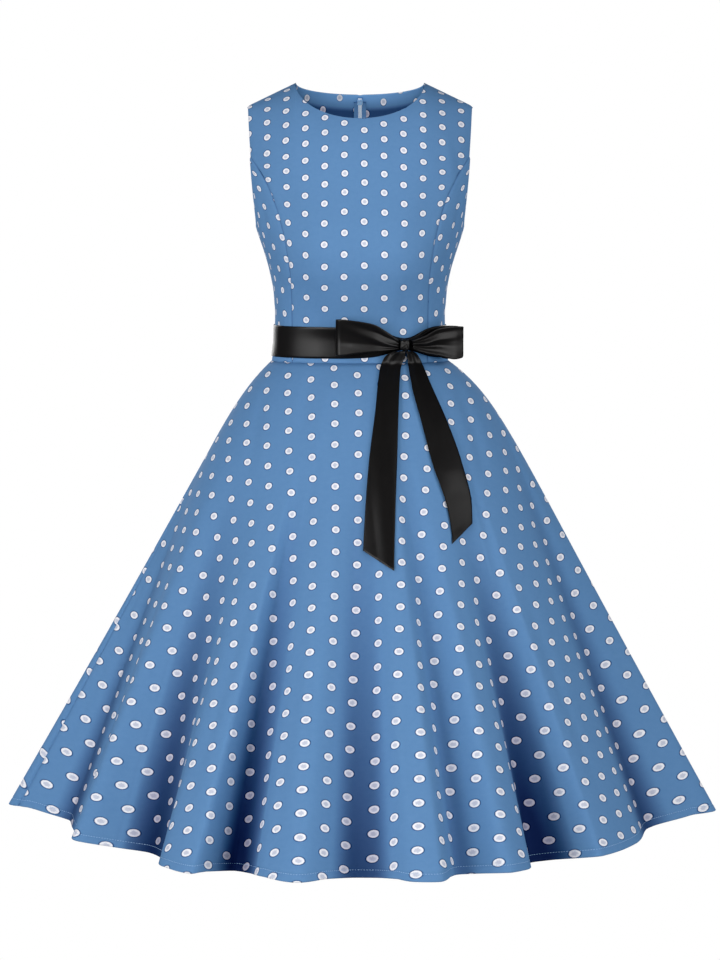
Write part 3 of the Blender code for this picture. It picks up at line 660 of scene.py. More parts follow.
SIDE_CREASES = (
    (0.128, -0.140, 0.116, -0.215, 0.0040, -0.0013, 0.001),
    (0.133, -0.175, 0.105, -0.250, 0.0060, 0.0012, 0.002),
    (0.118, -0.200, 0.096, -0.270, 0.0050, -0.0013, -0.001),
    (0.112, -0.240, 0.094, -0.320, 0.0060, 0.0011, 0.002),
    (0.110, -0.285, 0.095, -0.350, 0.0050, -0.0012, 0.001),
)

# A side front runs up to the armhole: each column's top level is found by halving
share = close_to_edges(np.linspace(0, 1, 34))
high = np.full_like(share, PRINCESS_TOP)
low = np.full_like(share, UNDERARM)
for _ in range(40):
    middle = (high + low) / 2
    seam_angle = princess_angle(middle)
    beyond = seam_angle + share * (math.pi / 2 - seam_angle) > armhole_angle(middle)
    high, low = np.where(beyond, middle, high), np.where(beyond, low, middle)
tops = np.where(share == 0, PRINCESS_TOP, (high + low) / 2)
levels = tops + (WAIST - tops) * np.linspace(0, 1, 96)[:, None]
angles = princess_angle(levels) + share * (math.pi / 2 - princess_angle(levels))
bodice_panel("side_front_left", "bodice_side_left", FRONT, angles, levels, SIDE_CREASES,
             len(share) // 2, (0.004, 0.012))
bodice_panel("side_front_right", "bodice_side_right", FRONT, -angles[:, ::-1], levels[:, ::-1],
             other_side(SIDE_CREASES), len(share) // 2, (-0.004, 0.012))


# Bodice back
# Two plain cotton panels, each from the side seam to the zip at the centre back, cut higher at the
# neck than the front and joined to it at the shoulder and side seams.
BACK_CREASES = (
    (0.040, -0.090, 0.016, -0.210, 0.0120, -0.0011, 0.004),
    (0.095, -0.110, 0.060, -0.190, 0.0100, 0.0010, -0.004),
    (0.118, -0.170, 0.070, -0.245, 0.0080, -0.0013, 0.003),
    (0.085, -0.220, 0.050, -0.320, 0.0090, 0.0011, 0.002),
    (0.045, -0.240, 0.030, -0.345, 0.0080, -0.0012, -0.002),
    (0.115, -0.080, 0.124, -0.160, 0.0060, -0.0013, 0.002),
)

outs = close_to_edges(top_outs)
tops = top_level(outs, BACK)
levels = levels_down(tops, UNDERARM, 60, 64)
angles = body_angle(outs, tops) / armhole_angle(tops) * armhole_angle(levels)
bodice_panel("back_left", "bodice_back_left", BACK, angles, levels, BACK_CREASES,
             0, (0.0092, 0.0047))
bodice_panel("back_right", "bodice_back_right", BACK, -angles[:, ::-1], levels[:, ::-1],
             other_side(BACK_CREASES), -1, (-0.0048, 0.0094))


# Skirt
# A flared skirt of about two thirds of a circle, one front panel and two back ones. It springs out
# from the waist seam and falls in deep soft folds that open towards a narrow stitched hem.
HEM = -0.940
HEM_HALF_WIDTH = 0.433
HEM_DEPTH = 0.424
SKIRT_SPRING = 0.075
SKIRT_SPRING_LEFT = 0.045
SKIRT_SPRING_REACH = 0.075
FOLD_GROWTH = 1.25
HEM_DIP = 0.16

# One row a fold, in order round the hem. A turn of 0 is the centre front and 90 the wearer's
# left side. The fold stands out to its crest, breaks over its edge, falls in to its trough and
# lies there until the next fold rises.
FOLDS = (
    # crest turn, radius, edge turn, radius, trough turn, radius, rise turn, radius, start
    (-92.0, 0.461, -87.5, 0.416, -82.0, 0.377, -70.0, 0.382, 0.20),
    (-62.5, 0.402, -56.3, 0.364, -51.0, 0.336, -43.5, 0.352, 0.20),
    (-33.5, 0.424, -26.6, 0.441, -23.5, 0.372, -20.0, 0.386, 0.20),
    (-15.4, 0.425, -9.6, 0.446, -0.5, 0.392, 2.5, 0.395, 0.12),
    (8.0, 0.440, 12.0, 0.446, 17.6, 0.393, 20.0, 0.400, 0.10),
    (24.5, 0.427, 28.6, 0.414, 37.5, 0.345, 41.0, 0.356, 0.22),
    (46.0, 0.408, 59.0, 0.398, 74.0, 0.379, 77.0, 0.386, 0.05),
    (82.0, 0.425, 87.0, 0.4625, 98.0, 0.392, 101.5, 0.394, 0.14),
    (108.0, 0.436, 114.0, 0.447, 122.5, 0.368, 125.5, 0.370, 0.22),
    (130.0, 0.428, 137.0, 0.444, 146.0, 0.364, 148.5, 0.368, 0.30),
    (153.0, 0.432, 159.0, 0.442, 167.0, 0.370, 170.0, 0.374, 0.16),
    (176.0, 0.438, 182.0, 0.444, 189.0, 0.366, 192.0, 0.368, 0.34),
    (197.0, 0.428, 203.0, 0.442, 211.0, 0.362, 213.5, 0.366, 0.24),
    (218.5, 0.430, 225.5, 0.438, 232.5, 0.360, 235.5, 0.364, 0.30),
    (240.5, 0.434, 247.0, 0.441, 254.5, 0.376, 257.0, 0.380, 0.18),
)

HEM_PLAN = Table("turn radius start", [
    (fold[place] + lap * 360, fold[place + 1], fold[-1])
    for lap in (-1, 0, 1)
    for fold in FOLDS
    for place in (0, 2, 4, 6)
])


def ring_radius(azimuth, half_width, depth, roundness):
    across = (np.abs(np.sin(azimuth)) / half_width) ** roundness
    along = (np.abs(np.cos(azimuth)) / depth) ** roundness
    return (across + along) ** (-1 / roundness)


def skirt_level(share):
    return WAIST - SEAM_GAP + (HEM - WAIST + SEAM_GAP) * share


def skirt_fold(azimuth, share):
    """How far the cloth stands out from the plain flare, or lies in from it, in its folds."""
    turn = np.degrees(azimuth)
    start = HEM_PLAN.read("start", turn)
    grown = np.maximum((share - start) / (1 - start), 0.0) ** FOLD_GROWTH
    return (HEM_PLAN.read("radius", turn) - ring_radius(azimuth, HEM_HALF_WIDTH, HEM_DEPTH, 2)) * grown


def skirt_point(azimuth, share):
    """Point on the skirt's outer face, at a share of the drop from the waist to the hem."""
    front, back = BODY.read("front_depth", WAIST), BODY.read("back_depth", WAIST)
    depth = np.where(np.cos(azimuth) > 0, front, back)
    waist = ring_radius(azimuth, BODY.read("half_width", WAIST), depth, ROUNDNESS)
    hem = ring_radius(azimuth, HEM_HALF_WIDTH, HEM_DEPTH, 2)
    spring = SKIRT_SPRING + SKIRT_SPRING_LEFT * np.maximum(np.sin(azimuth), 0.0) ** 2
    spring = spring * (1 - share) * (1 - np.exp(-share / SKIRT_SPRING_REACH))
    fold = skirt_fold(azimuth, share)
    radius = waist + (hem - waist) * (share + spring) + fold
    return np.stack([radius * np.sin(azimuth), -radius * np.cos(azimuth),
                     skirt_level(share) - HEM_DIP * np.maximum(-fold, 0.0)], axis=-1)


# Painted shade in the folds' troughs and along the seams, none over the ridges, and painted shade on the
# inner face, darker up from the hem
PAINTED_SHADE_REACH = math.radians(17)
PAINTED_SHADE_FULL = 0.039
RIDGE_REACH = math.radians(0.9)
RIDGE_FULL = 0.0016
SEAM_SHADE_SHARE = 0.3
INSIDE_SHADE_ABOVE = 0.150
SIDE_WIDENING = 0.36
SIDE_REACH = math.radians(32)
SKIRT_PRINT = (0.86, 0.70)
SKIRT_PRINT_PLACE = (0.0038, 0.0200)
SKIRT_PRINT_LEAN = 0.0068
DOT_SWELL = (-0.14, 0.26)
DOT_TALL = (0.26, 0.12)
DOT_TALL_REACH = 0.15
HEM_TURN = 0.0090
HEM_TURN_FULL = 0.0006
HEM_TURN_PAST = 0.0008
HEM_TURN_STEP = 0.0012
STITCH_DIMPLE = 0.0005
STITCH_DIMPLE_REACH = 0.0011
FRONT_SKIRT_CREASES = (
    # from turn and drop, to turn and drop, width, height, bow
    (-62.0, 0.030, -44.0, 0.180, 0.0100, -0.0022, 0.006),
    (-36.0, 0.010, -27.0, 0.120, 0.0080, -0.0016, 0.003),
    (-19.0, 0.020, -17.0, 0.150, 0.0090, 0.0014, -0.003),
    (5.0, 0.015, 3.0, 0.110, 0.0080, -0.0014, 0.002),
    (26.0, 0.020, 21.0, 0.150, 0.0090, -0.0019, -0.004),
    (44.0, 0.010, 36.0, 0.140, 0.0080, 0.0015, 0.004),
    (63.0, 0.020, 50.0, 0.190, 0.0120, -0.0022, -0.005),
    (-74.0, 0.420, -70.0, 0.600, 0.0110, -0.0020, 0.004),
    (-46.0, 0.350, -43.0, 0.560, 0.0120, 0.0017, -0.003),
    (-30.0, 0.300, -31.5, 0.600, 0.0090, -0.0018, 0.002),
    (-12.0, 0.330, -12.5, 0.640, 0.0080, 0.0012, 0.002),
    (10.0, 0.400, 9.5, 0.650, 0.0080, -0.0013, -0.002),
    (23.0, 0.260, 25.0, 0.500, 0.0090, 0.0014, 0.003),
    (50.0, 0.300, 52.0, 0.600, 0.0130, -0.0022, -0.004),
    (80.0, 0.380, 82.0, 0.600, 0.0110, 0.0018, 0.003),
)
BACK_SKIRT_CREASES = (
    (168.0, 0.020, 160.0, 0.150, 0.0090, -0.0018, 0.004),
    (150.0, 0.010, 141.0, 0.120, 0.0080, 0.0014, -0.003),
    (128.0, 0.030, 124.0, 0.190, 0.0110, -0.0022, 0.004),
    (104.0, 0.020, 110.0, 0.160, 0.0100, 0.0016, 0.003),
    (162.0, 0.330, 160.0, 0.600, 0.0100, -0.0018, 0.003),
    (133.0, 0.360, 134.0, 0.620, 0.0110, 0.0016, -0.004),
    (112.0, 0.300, 109.0, 0.580, 0.0120, -0.0020, 0.004),
)


def skirt_creased(points, normals, azimuths, down, creases):
    """Moves the skirt's grid by its creases, each from a turn and a drop below the waist."""
    reach = np.linalg.norm(points[..., :2], axis=-1)
    for turn0, drop0, turn1, drop1, width, height, bow in creases:
        along = np.clip((down - drop0) / (drop1 - drop0), 0.0, 1.0)
        line = np.radians(turn0 + (turn1 - turn0) * along)
        aside = (azimuths - line) * reach - bow * np.sin(math.pi * along)
        moved = height * np.sin(math.pi * along) ** 0.8 * np.exp(-(aside / width) ** 2)
        points = points + normals * moved[..., None]
    return points


def skirt_cut(azimuths, shares, around, down, grain, waist_radius, spread):
    """Places on a panel's flat cut, a sector of a ring, as its print is stretched sideways.

    The grain is the share of the panel's width at which the print runs straight down.
    """
    at_side = np.exp(-((np.abs(azimuths) - math.pi / 2) / SIDE_REACH) ** 2)
    steps = np.diff(around, axis=1) * (1 - SIDE_WIDENING * (at_side[1:] + at_side[:-1]) / 2)
    printed = np.concatenate([0 * steps[:, :1], np.cumsum(steps, axis=1)], axis=1)
    printed = printed - grain * printed[:, [-1]]
    narrowed = SKIRT_PRINT[0] + (SKIRT_PRINT[1] - SKIRT_PRINT[0]) * shares
    turn = printed / around[:, [-1]] * spread * narrowed
    across = (waist_radius + down) * np.sin(turn)
    below = (waist_radius + down) * np.cos(turn) - waist_radius
    return np.stack([across + SKIRT_PRINT_LEAN * below + SKIRT_PRINT_PLACE[0],
                     SKIRT_PRINT_PLACE[1] - below], axis=-1)


def fold_shade(azimuths, shares):
    """Painted shade for each point, by how deep it lies in its fold, and none where the cloth bends over
    a ridge.
    """
    def standing_out(turns):
        return np.mean([skirt_fold(azimuths + turn, shares) for turn in turns], axis=0)
    fold = skirt_fold(azimuths, shares)
    hollow = (standing_out(np.linspace(-PAINTED_SHADE_REACH, PAINTED_SHADE_REACH, 15)) - fold) / PAINTED_SHADE_FULL
    ridge = (fold - standing_out((-RIDGE_REACH, RIDGE_REACH))) / RIDGE_FULL
    hollow, ridge = np.clip(hollow, 0.0, 1.0), np.clip(ridge, 0.0, 1.0)
    return hollow - ridge * (1 - hollow)


# Rows run evenly from waist to hem, with more of them where the hem is turned and stitched
SKIRT_LENGTH = 0.675
COLUMNS_A_DEGREE = 2.2
HEM_ROWS = np.array((0.0014, 0.0030, 0.0050, 0.0068, 0.0080, 0.0090, 0.0100, 0.0114, 0.0135))

shares = np.sort(np.concatenate([np.linspace(0, 1, 110), 1 - HEM_ROWS / SKIRT_LENGTH]))[:, None]
hem_lines = []
for name, node, first, last, grain, creases in (
    ("skirt_front_panel", "skirt_front", -90, 90, 0.5, FRONT_SKIRT_CREASES),
    ("skirt_back_panel_left", "skirt_back_left", 90, 180, 1.0, BACK_SKIRT_CREASES),
    ("skirt_back_panel_right", "skirt_back_right", -180, -90, 0.0, other_side(BACK_SKIRT_CREASES)),
):
    azimuths = np.radians(np.linspace(first, last, round((last - first) * COLUMNS_A_DEGREE) + 1))
    points = skirt_point(azimuths + 0 * shares, shares + 0 * azimuths)
    normals = grid_normals(points)
    down = lengths(points, 0)
    above_hem = down[[-1]] - down
    points = skirt_creased(points, normals, azimuths, down, creases)
    dimple = STITCH_DIMPLE * np.exp(-((above_hem - HEM_TURN) / STITCH_DIMPLE_REACH) ** 2)
    points, seam = seam_turn(points - normals * dimple[..., None], normals)
    around = lengths(points, 1)
    turned = np.clip((HEM_TURN + HEM_TURN_PAST - above_hem) / HEM_TURN_STEP, 0.0, 1.0)
    thickness = COTTON_THICKNESS + HEM_TURN_FULL * turned
    stitch_row = int(np.argmin(np.abs(above_hem[:, len(azimuths) // 2] - HEM_TURN)))
    hem_lines.append((points[stitch_row], normals[stitch_row]))
    spread = (around[-1, -1] - around[0, -1]) / down[-1].mean()
    waist_radius = around[0, -1] / spread
    cut = skirt_cut(azimuths, shares, around, down, grain, waist_radius, spread)
    # Painted shade: in the troughs and along the seams outside, and inside darker up from the hem
    hollow = np.maximum(fold_shade(azimuths, shares), seam * SEAM_SHADE * SEAM_SHADE_SHARE)
    inside = np.clip(above_hem / INSIDE_SHADE_ABOVE, 0.0, 1.0) * INSIDE_SHADE
    swell = DOT_SWELL[0] + (DOT_SWELL[1] - DOT_SWELL[0]) * shares + 0 * hollow
    squeeze = DOT_TALL[0] * np.exp(-shares / DOT_TALL_REACH) + DOT_TALL[1] * shares + 0 * hollow
    piece = shell(name, points, normals, thickness[..., None], cut, cotton, hollow=(hollow, inside),
                  swell=(swell, swell), squeeze=(squeeze, squeeze))
    hem_radius = waist_radius + down[-1].mean()
    flat_width = 2 * hem_radius * math.sin(spread / 2)
    flat_length = hem_radius - waist_radius * math.cos(spread / 2)
    stands_for(piece, node)


# Hem stitches
# One row of machine stitches in pale blue thread all round the hem, 9 mm above its edge, where the
# turned cloth is caught down. Each stitch is a short sunk loop of thread with a small gap after it.
STITCH_PITCH = 0.0034
STITCH_SIZE = (0.0027, 0.00055, 0.00035)
STITCH_PROUD = 0.00012
STITCH_UNEVENNESS = 0.12


def row_tree():
    """Node tree that sets one small rounded bar after another along a path, each a little uneven."""
    tree = bpy.data.node_groups.new("row_along_path", "GeometryNodeTree")
    for label, kind in (("Path", "Geometry"), ("Pitch", "Float"), ("Size", "Vector"),
                        ("Unevenness", "Float"), ("Seed", "Int"), ("Material", "Material")):
        tree.interface.new_socket(name=label, in_out="INPUT", socket_type="NodeSocket" + kind)
    tree.interface.new_socket(name="Row", in_out="OUTPUT", socket_type="NodeSocketGeometry")
    start = tree.nodes.new("NodeGroupInput")
    given = {socket.name: Wire(tree, socket) for socket in start.outputs if socket.name}
    wire = Wire(tree)
    curve = wire.node("GeometryNodeMeshToCurve", {}, {"Mesh": given["Path"]})
    spaced = wire.node("GeometryNodeResampleCurve", {"mode": "LENGTH"},
                       {"Curve": curve, "Length": given["Pitch"]})
    points = wire.node("GeometryNodeCurveToPoints", {"mode": "EVALUATED"}, {"Curve": spaced})
    ahead = Wire(tree, points.socket.node.outputs["Tangent"])
    out = wire.node("GeometryNodeInputNamedAttribute", {"data_type": "FLOAT_VECTOR"}, {"Name": "out"})
    turned = wire.node("FunctionNodeAlignRotationToVector", {"axis": "X"}, {"Vector": ahead})
    turned = wire.node("FunctionNodeAlignRotationToVector", {"axis": "Z", "pivot_axis": "X"},
                       {"Rotation": turned, "Vector": out})
    chance = wire.node("FunctionNodeRandomValue", {"data_type": "FLOAT"},
                       {"Min": -1.0, "Max": 1.0, "Seed": given["Seed"]}, 1)
    scaled = wire.node("ShaderNodeVectorMath", {"operation": "SCALE"},
                       {0: given["Size"], "Scale": chance * given["Unevenness"] + 1.0})
    bar = wire.node("GeometryNodeMeshUVSphere", {}, {"Segments": 6, "Rings": 4, "Radius": 0.5})
    bars = wire.node("GeometryNodeInstanceOnPoints", {},
                     {"Points": points, "Instance": bar, "Rotation": turned, "Scale": scaled})
    plain = wire.node("GeometryNodeRealizeInstances", {}, {"Geometry": bars})
    smooth = wire.node("GeometryNodeSetShadeSmooth", {}, {0: plain})
    finished = wire.node("GeometryNodeSetMaterial", {},
                         {"Geometry": smooth, "Material": given["Material"]})
    end = tree.nodes.new("NodeGroupOutput")
    tree.links.new(finished.socket, end.inputs[0])
    return tree


row_along_path = row_tree()


def small_bars(name, paths, pitch, size, unevenness, seed, material):
    """Rows of small bars along paths of points with their ways out, as one plain mesh."""
    vertices, edges, outs = [], [], []
    for points, ways_out in paths:
        edges += [(len(vertices) + k, len(vertices) + k + 1) for k in range(len(points) - 1)]
        vertices += points.tolist()
        outs += ways_out.tolist()
    mesh = bpy.data.meshes.new(name)
    mesh.from_pydata(vertices, edges, [])
    carried = mesh.attributes.new("out", "FLOAT_VECTOR", "POINT")
    carried.data.foreach_set("vector", np.array(outs, np.float32).ravel())
    made = bpy.data.objects.new(name, mesh)
    scene.collection.objects.link(made)
    rows = made.modifiers.new("rows", "NODES")
    rows.node_group = row_along_path
    values = {"Pitch": pitch, "Size": size, "Unevenness": unevenness, "Seed": seed, "Material": material}
    for socket in row_along_path.interface.items_tree:
        if socket.in_out == "INPUT" and socket.name in values:
            rows[socket.identifier] = values[socket.name]
    depsgraph = bpy.context.evaluated_depsgraph_get()
    plain = bpy.data.meshes.new_from_object(made.evaluated_get(depsgraph))
    made.modifiers.clear()
    made.data = plain
    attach(made, "dress")
    return made


def pale_thread():
    made, wire, shader = finish("pale_thread", Sheen_Weight=0.2, Specular_IOR_Level=0.3)
    twist = wire.noise(wire.place(), 2600.0, 2.0)
    feed(shader, Base_Color=twist.blend((0.26, 0.44, 0.68, 1.0), (0.42, 0.60, 0.84, 1.0)),
         Roughness=0.55 + twist * 0.2, Normal=bump(twist, 0.00005, 0.5))
    return made


thread = pale_thread()
hem_paths = [(points + normals * STITCH_PROUD, normals) for points, normals in hem_lines]
hem_stitches = small_bars("hem_stitches", hem_paths, STITCH_PITCH, STITCH_SIZE,
                          STITCH_UNEVENNESS, seed=7, material=thread)


# Back zip
# A light blue coil zip at the centre back, from the neck to 0.19 m below the waist: two woven tapes
# sewn inside the back's edges, two rows of nylon coil that lock in the middle, and an enamelled
# slider with its pull tab on the outside. A row of stitches on each side holds it in.
ZIP_END_SHARE = 0.32
COIL_TOP = -0.0142
TOOTH_PITCH = 0.0013
TOOTH_SIZE = (0.00085, 0.0030, 0.0013)
TOOTH_OUT = 0.0012
TOOTH_UNEVENNESS = 0.03
ZIP_INSIDE = 0.0044
ZIP_STITCH_TOP = -0.0200
ZIP_STITCH_OUT = 0.0062


def centre_back(first_level, aside, inset):
    """Points and ways out down the centre back, moved to a side and in from the outer face."""
    levels = np.linspace(first_level, WAIST, 170)
    angles = body_angle(np.full_like(levels, aside), levels)
    steps = np.linspace(0.012, ZIP_END_SHARE, 60)
    turns = np.full_like(steps, math.pi - aside / 0.2)
    for _ in range(6):
        reach = np.linalg.norm(skirt_point(turns, steps)[..., :2], axis=-1)
        turns = math.pi - np.arcsin(aside / reach)
    nudge = 0.004
    skirt_across = skirt_point(turns + nudge, steps) - skirt_point(turns - nudge, steps)
    skirt_down = skirt_point(turns, steps + nudge) - skirt_point(turns, steps - nudge)
    points = np.concatenate([body_point(angles, levels, BACK), skirt_point(turns, steps)])
    ways = np.concatenate([body_normal(angles, levels, BACK), unit(np.cross(skirt_down, skirt_across))])
    return points - ways * inset, ways


def nylon_coil():
    made, wire, shader = finish("nylon_coil", Specular_IOR_Level=0.5)
    cloudy = wire.noise(wire.place(), 420.0, 3.0)
    feed(shader, Base_Color=cloudy.blend((0.66, 0.78, 0.92, 1.0), (0.82, 0.90, 0.98, 1.0)),
         Roughness=0.32 + cloudy * 0.16)
    return made


def woven_tape():
    made, wire, shader = finish("woven_tape", Sheen_Weight=0.1, Specular_IOR_Level=0.2)
    where = wire.place()
    weave = (wire.noise(where.stretch((2600.0, 500.0, 500.0)), 1.0, 2.0)
             + wire.noise(where.stretch((500.0, 2600.0, 2600.0)), 1.0, 2.0)) * 0.5
    # Its blue is darker than the cotton's: painted shade, for the shade inside the back where it lies
    feed(shader, Base_Color=weave.blend((0.080, 0.180, 0.360, 1.0), (0.115, 0.240, 0.450, 1.0)),
         Roughness=0.78 + weave * 0.12, Normal=bump(weave, 0.00012, 0.6))
    return made


def zip_enamel():
    """Blue enamel that is worn through to the metal in small spots."""
    made, wire, shader = finish("zip_enamel", Specular_IOR_Level=0.5)
    where = wire.place()
    worn = wire.noise(where, 300.0, 5.0, 0.65).near(0.64, 0.58)
    scuffed = wire.noise(where.stretch((200.0, 1200.0, 300.0)), 1.0, 3.0)
    enamel = scuffed.blend((0.22, 0.42, 0.68, 1.0), (0.32, 0.52, 0.78, 1.0))
    feed(shader, Base_Color=worn.blend(enamel, (0.56, 0.58, 0.60, 1.0)), Metallic=worn * 0.9,
         Roughness=0.24 + scuffed * 0.2, Normal=bump(scuffed, 0.00003, 0.4))
    return made


coil_paths = []
for side, late in ((-1, 0.0), (1, 0.5)):
    points, ways = centre_back(COIL_TOP, 0.0, ZIP_INSIDE)
    along = lengths(points[:, None, :], 0)[:, 0]
    spots = np.arange(TOOTH_PITCH * late, along[-1], TOOTH_PITCH / 4)
    points = np.stack([np.interp(spots, along, points[:, axis]) for axis in range(3)], axis=-1)
    ways = unit(np.stack([np.interp(spots, along, ways[:, axis]) for axis in range(3)], axis=-1))
    coil_paths.append((points + np.array((side * TOOTH_OUT, 0.0, 0.0)), ways))
teeth = small_bars("zip_teeth", coil_paths, TOOTH_PITCH, TOOTH_SIZE,
                   TOOTH_UNEVENNESS, seed=11, material=nylon_coil())
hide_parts("zip_coil")

zip_paths = [centre_back(ZIP_STITCH_TOP, side * ZIP_STITCH_OUT, -STITCH_PROUD) for side in (-1, 1)]
zip_stitches = small_bars("zip_stitches", zip_paths, STITCH_PITCH, STITCH_SIZE,
                          STITCH_UNEVENNESS, seed=13, material=thread)

# Tapes, slider and pull tab keep their plain shapes, in their own finishes
tape, enamel = woven_tape(), zip_enamel()
for node, zip_finish in (("zip_tape_left", tape), ("zip_tape_right", tape),
                         ("zip_slider", enamel), ("zip_pull_tab", enamel)):
    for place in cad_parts[node].material_slots:
        place.material = zip_finish


# Black satin
# Double-faced polyester satin ribbon: nearly black, smooth, with a long soft gloss and very fine
# lines along its length.
SATIN_THICKNESS = 0.0006
RIBBON_WIDTH = 0.04
SATIN_BLACK = (0.013, 0.0125, 0.0125, 1.0)
SATIN_SHEEN = (0.019, 0.018, 0.018, 1.0)


def black_satin():
    made, wire, shader = finish("black_satin", Specular_IOR_Level=0.30, Anisotropic=0.2)
    cut = wire.cut()
    lines = wire.noise(cut.stretch((40.0, 2600.0, 1.0)), 1.0, 2.0)
    cloudy = wire.noise(cut, 60.0, 3.0)
    feed(shader, Base_Color=(lines * 0.6 + cloudy * 0.4).blend(SATIN_BLACK, SATIN_SHEEN),
         Roughness=0.36 + cloudy * 0.06, Normal=bump(lines, 0.00003, 0.4))
    return made


satin = black_satin()


def ribbon(name, node, points, normals, cut):
    """A stretch of the ribbon from a grid of points, in the place of its plain solid."""
    piece = shell(name, points, normals, SATIN_THICKNESS, cut, satin)
    stands_for(piece, node)


# Sash
# One length of the ribbon round the waist, flat over the bodice, drawn narrow where it is tied at
# the front. Its two ends cross under the knot.
SASH_LEVEL = -0.331
SASH_OUT = 0.0019
SASH_DRAWN_IN = 0.62
SASH_DRAWN_REACH = 0.28
SASH_DIP = 0.002
SASH_GATHERS = 0.0009
SASH_EDGE_ROLL = 0.0006
SASH_RIPPLE = 0.0003
KNOT_CENTRE = np.array((0.0565, -0.0891, -0.3335))
KNOT_SIZE = np.array((0.0150, 0.0110, 0.0160))

knot_angle = float(body_angle(KNOT_CENTRE[0], SASH_LEVEL))
turns = knot_angle + np.linspace(0, 2 * math.pi, 420)
turns = (turns + math.pi / 2) % (2 * math.pi) - math.pi / 2
front = turns < math.pi / 2
angles = np.where(front, turns, math.pi - turns)
near_knot = np.where(front, np.exp(-((angles - knot_angle) / SASH_DRAWN_REACH) ** 2), 0.0)
across = np.linspace(1, -1, 15)[:, None]
angles = angles + 0 * across
levels = SASH_LEVEL - SASH_DIP * near_knot + across * RIBBON_WIDTH / 2 * (1 - SASH_DRAWN_IN * near_knot)
on_front = front[:, None]
points = np.where(on_front, body_point(angles, levels, FRONT), body_point(angles, levels, BACK))
normals = np.where(on_front, body_normal(angles, levels, FRONT), body_normal(angles, levels, BACK))
gathers = SASH_GATHERS * near_knot * np.cos(across * 9.0)
rolls = -SASH_EDGE_ROLL * np.abs(across) ** 6 + SASH_RIPPLE * np.sin(turns * 5 + across * 2.0)
points = points + normals * (SASH_OUT + gathers + rolls)[..., None]
cut = np.stack([lengths(points, 1), across * RIBBON_WIDTH / 2 + 0 * angles], axis=-1)
ribbon("waist_sash", "sash_band", points, normals, cut)


# Bow loops
# The ribbon stands on edge in each loop: out from the knot, round the end and back. It is gathered
# at the knot and its gathers open into a few soft ridges.
LOOP_GATHERS = 0.0008
LOOP_COLUMNS = "share low high half_depth bulge"
RIGHT_LOOP_END = (-0.0300, -0.1010)
RIGHT_LOOP = Table(LOOP_COLUMNS, (
    (0.00, -0.3385, -0.3280, 0.0026, 0.0000),
    (0.20, -0.3400, -0.3165, 0.0040, 0.0035),
    (0.42, -0.3415, -0.3070, 0.0052, 0.0055),
    (0.75, -0.3445, -0.3025, 0.0062, 0.0040),
    (0.94, -0.3465, -0.3010, 0.0056, 0.0010),
    (1.00, -0.3465, -0.3010, 0.0034, 0.0000),
))
LEFT_LOOP_END = (0.1300, -0.0560)
LEFT_LOOP = Table(LOOP_COLUMNS, (
    (0.00, -0.3385, -0.3280, 0.0026, 0.0000),
    (0.22, -0.3440, -0.3215, 0.0050, 0.0025),
    (0.48, -0.3480, -0.3125, 0.0074, 0.0025),
    (0.78, -0.3525, -0.3105, 0.0086, 0.0010),
    (0.94, -0.3510, -0.3110, 0.0074, 0.0000),
    (1.00, -0.3465, -0.3120, 0.0040, 0.0000),
))
RIGHT_LOOP_RIDGES = (
    # across at the knot, across at the end, width, height
    (0.30, 0.88, 0.10, 0.0016),
    (0.15, 0.42, 0.09, -0.0012),
    (0.62, 1.05, 0.08, -0.0010),
)
LEFT_LOOP_RIDGES = (
    (0.55, 0.72, 0.09, 0.0016),
    (0.35, 0.40, 0.08, -0.0016),
    (0.20, 0.12, 0.08, 0.0012),
    (0.78, 0.92, 0.07, -0.0009),
)


def body_front(level):
    """How far forward the bodice reaches at a level, beside the bow."""
    return BODY.read("front_depth", level) + bust(BUST_OUT / 2, level)


def bow_loop(name, node, side, end, table, ridges):
    """One loop of the bow, from the knot round its end and back, as a strip of ribbon."""
    slant = abs((end[1] - KNOT_CENTRE[1]) / (end[0] - KNOT_CENTRE[0]))
    beside = KNOT_SIZE[0] / 2 + SEAM_GAP + slant * table.read("half_depth", 0.0)
    start = np.array((KNOT_CENTRE[0] + side * beside, KNOT_CENTRE[1]))
    run = np.array(end) - start
    ahead = np.array((run[1], -run[0])) / np.linalg.norm(run)
    ahead = -ahead if ahead[1] > 0 else ahead
    out = np.sin(np.linspace(0, math.pi / 2, 48)) ** 1.1
    share = np.concatenate([out, out[-2::-1]])
    layer = np.concatenate([np.ones(len(out) - 1), [0.0], -np.ones(len(out) - 1)])
    across = np.linspace(1, 0, 25)[:, None]
    depth = table.read("half_depth", share) * np.clip((1 - share) / 0.02, 0, 1) ** 0.5
    proud = layer * depth + table.read("bulge", share)
    opened = np.sin(math.pi * share ** 0.6) ** 0.8
    ruck = LOOP_GATHERS * np.cos(across * 21.0) * np.exp(-share / 0.16)
    for start_across, end_across, width, height in ridges:
        line = start_across + (end_across - start_across) * share ** 1.4
        ruck = ruck + height * opened * np.exp(-((across - line) / width) ** 2)
    proud = proud + ruck * np.where(layer >= 0, 1.0, 0.5)
    low, high = table.read("low", share), table.read("high", share)
    z = low + (high - low) * across
    x = start[0] + run[0] * share + ahead[0] * proud
    y = start[1] + run[1] * share + ahead[1] * proud
    y = y - np.maximum(body_front(z) - body_front(SASH_LEVEL), 0.0)
    points = np.stack([x, y, z], axis=-1)[:, ::-side]
    cut = np.stack([lengths(points, 1), (across - 0.5) * RIBBON_WIDTH + 0 * share], axis=-1)
    ribbon(name, node, points, grid_normals(points), cut)


bow_loop("bow_right", "bow_loop_right", -1, RIGHT_LOOP_END, RIGHT_LOOP, RIGHT_LOOP_RIDGES)
bow_loop("bow_left", "bow_loop_left", 1, LEFT_LOOP_END, LEFT_LOOP, LEFT_LOOP_RIDGES)


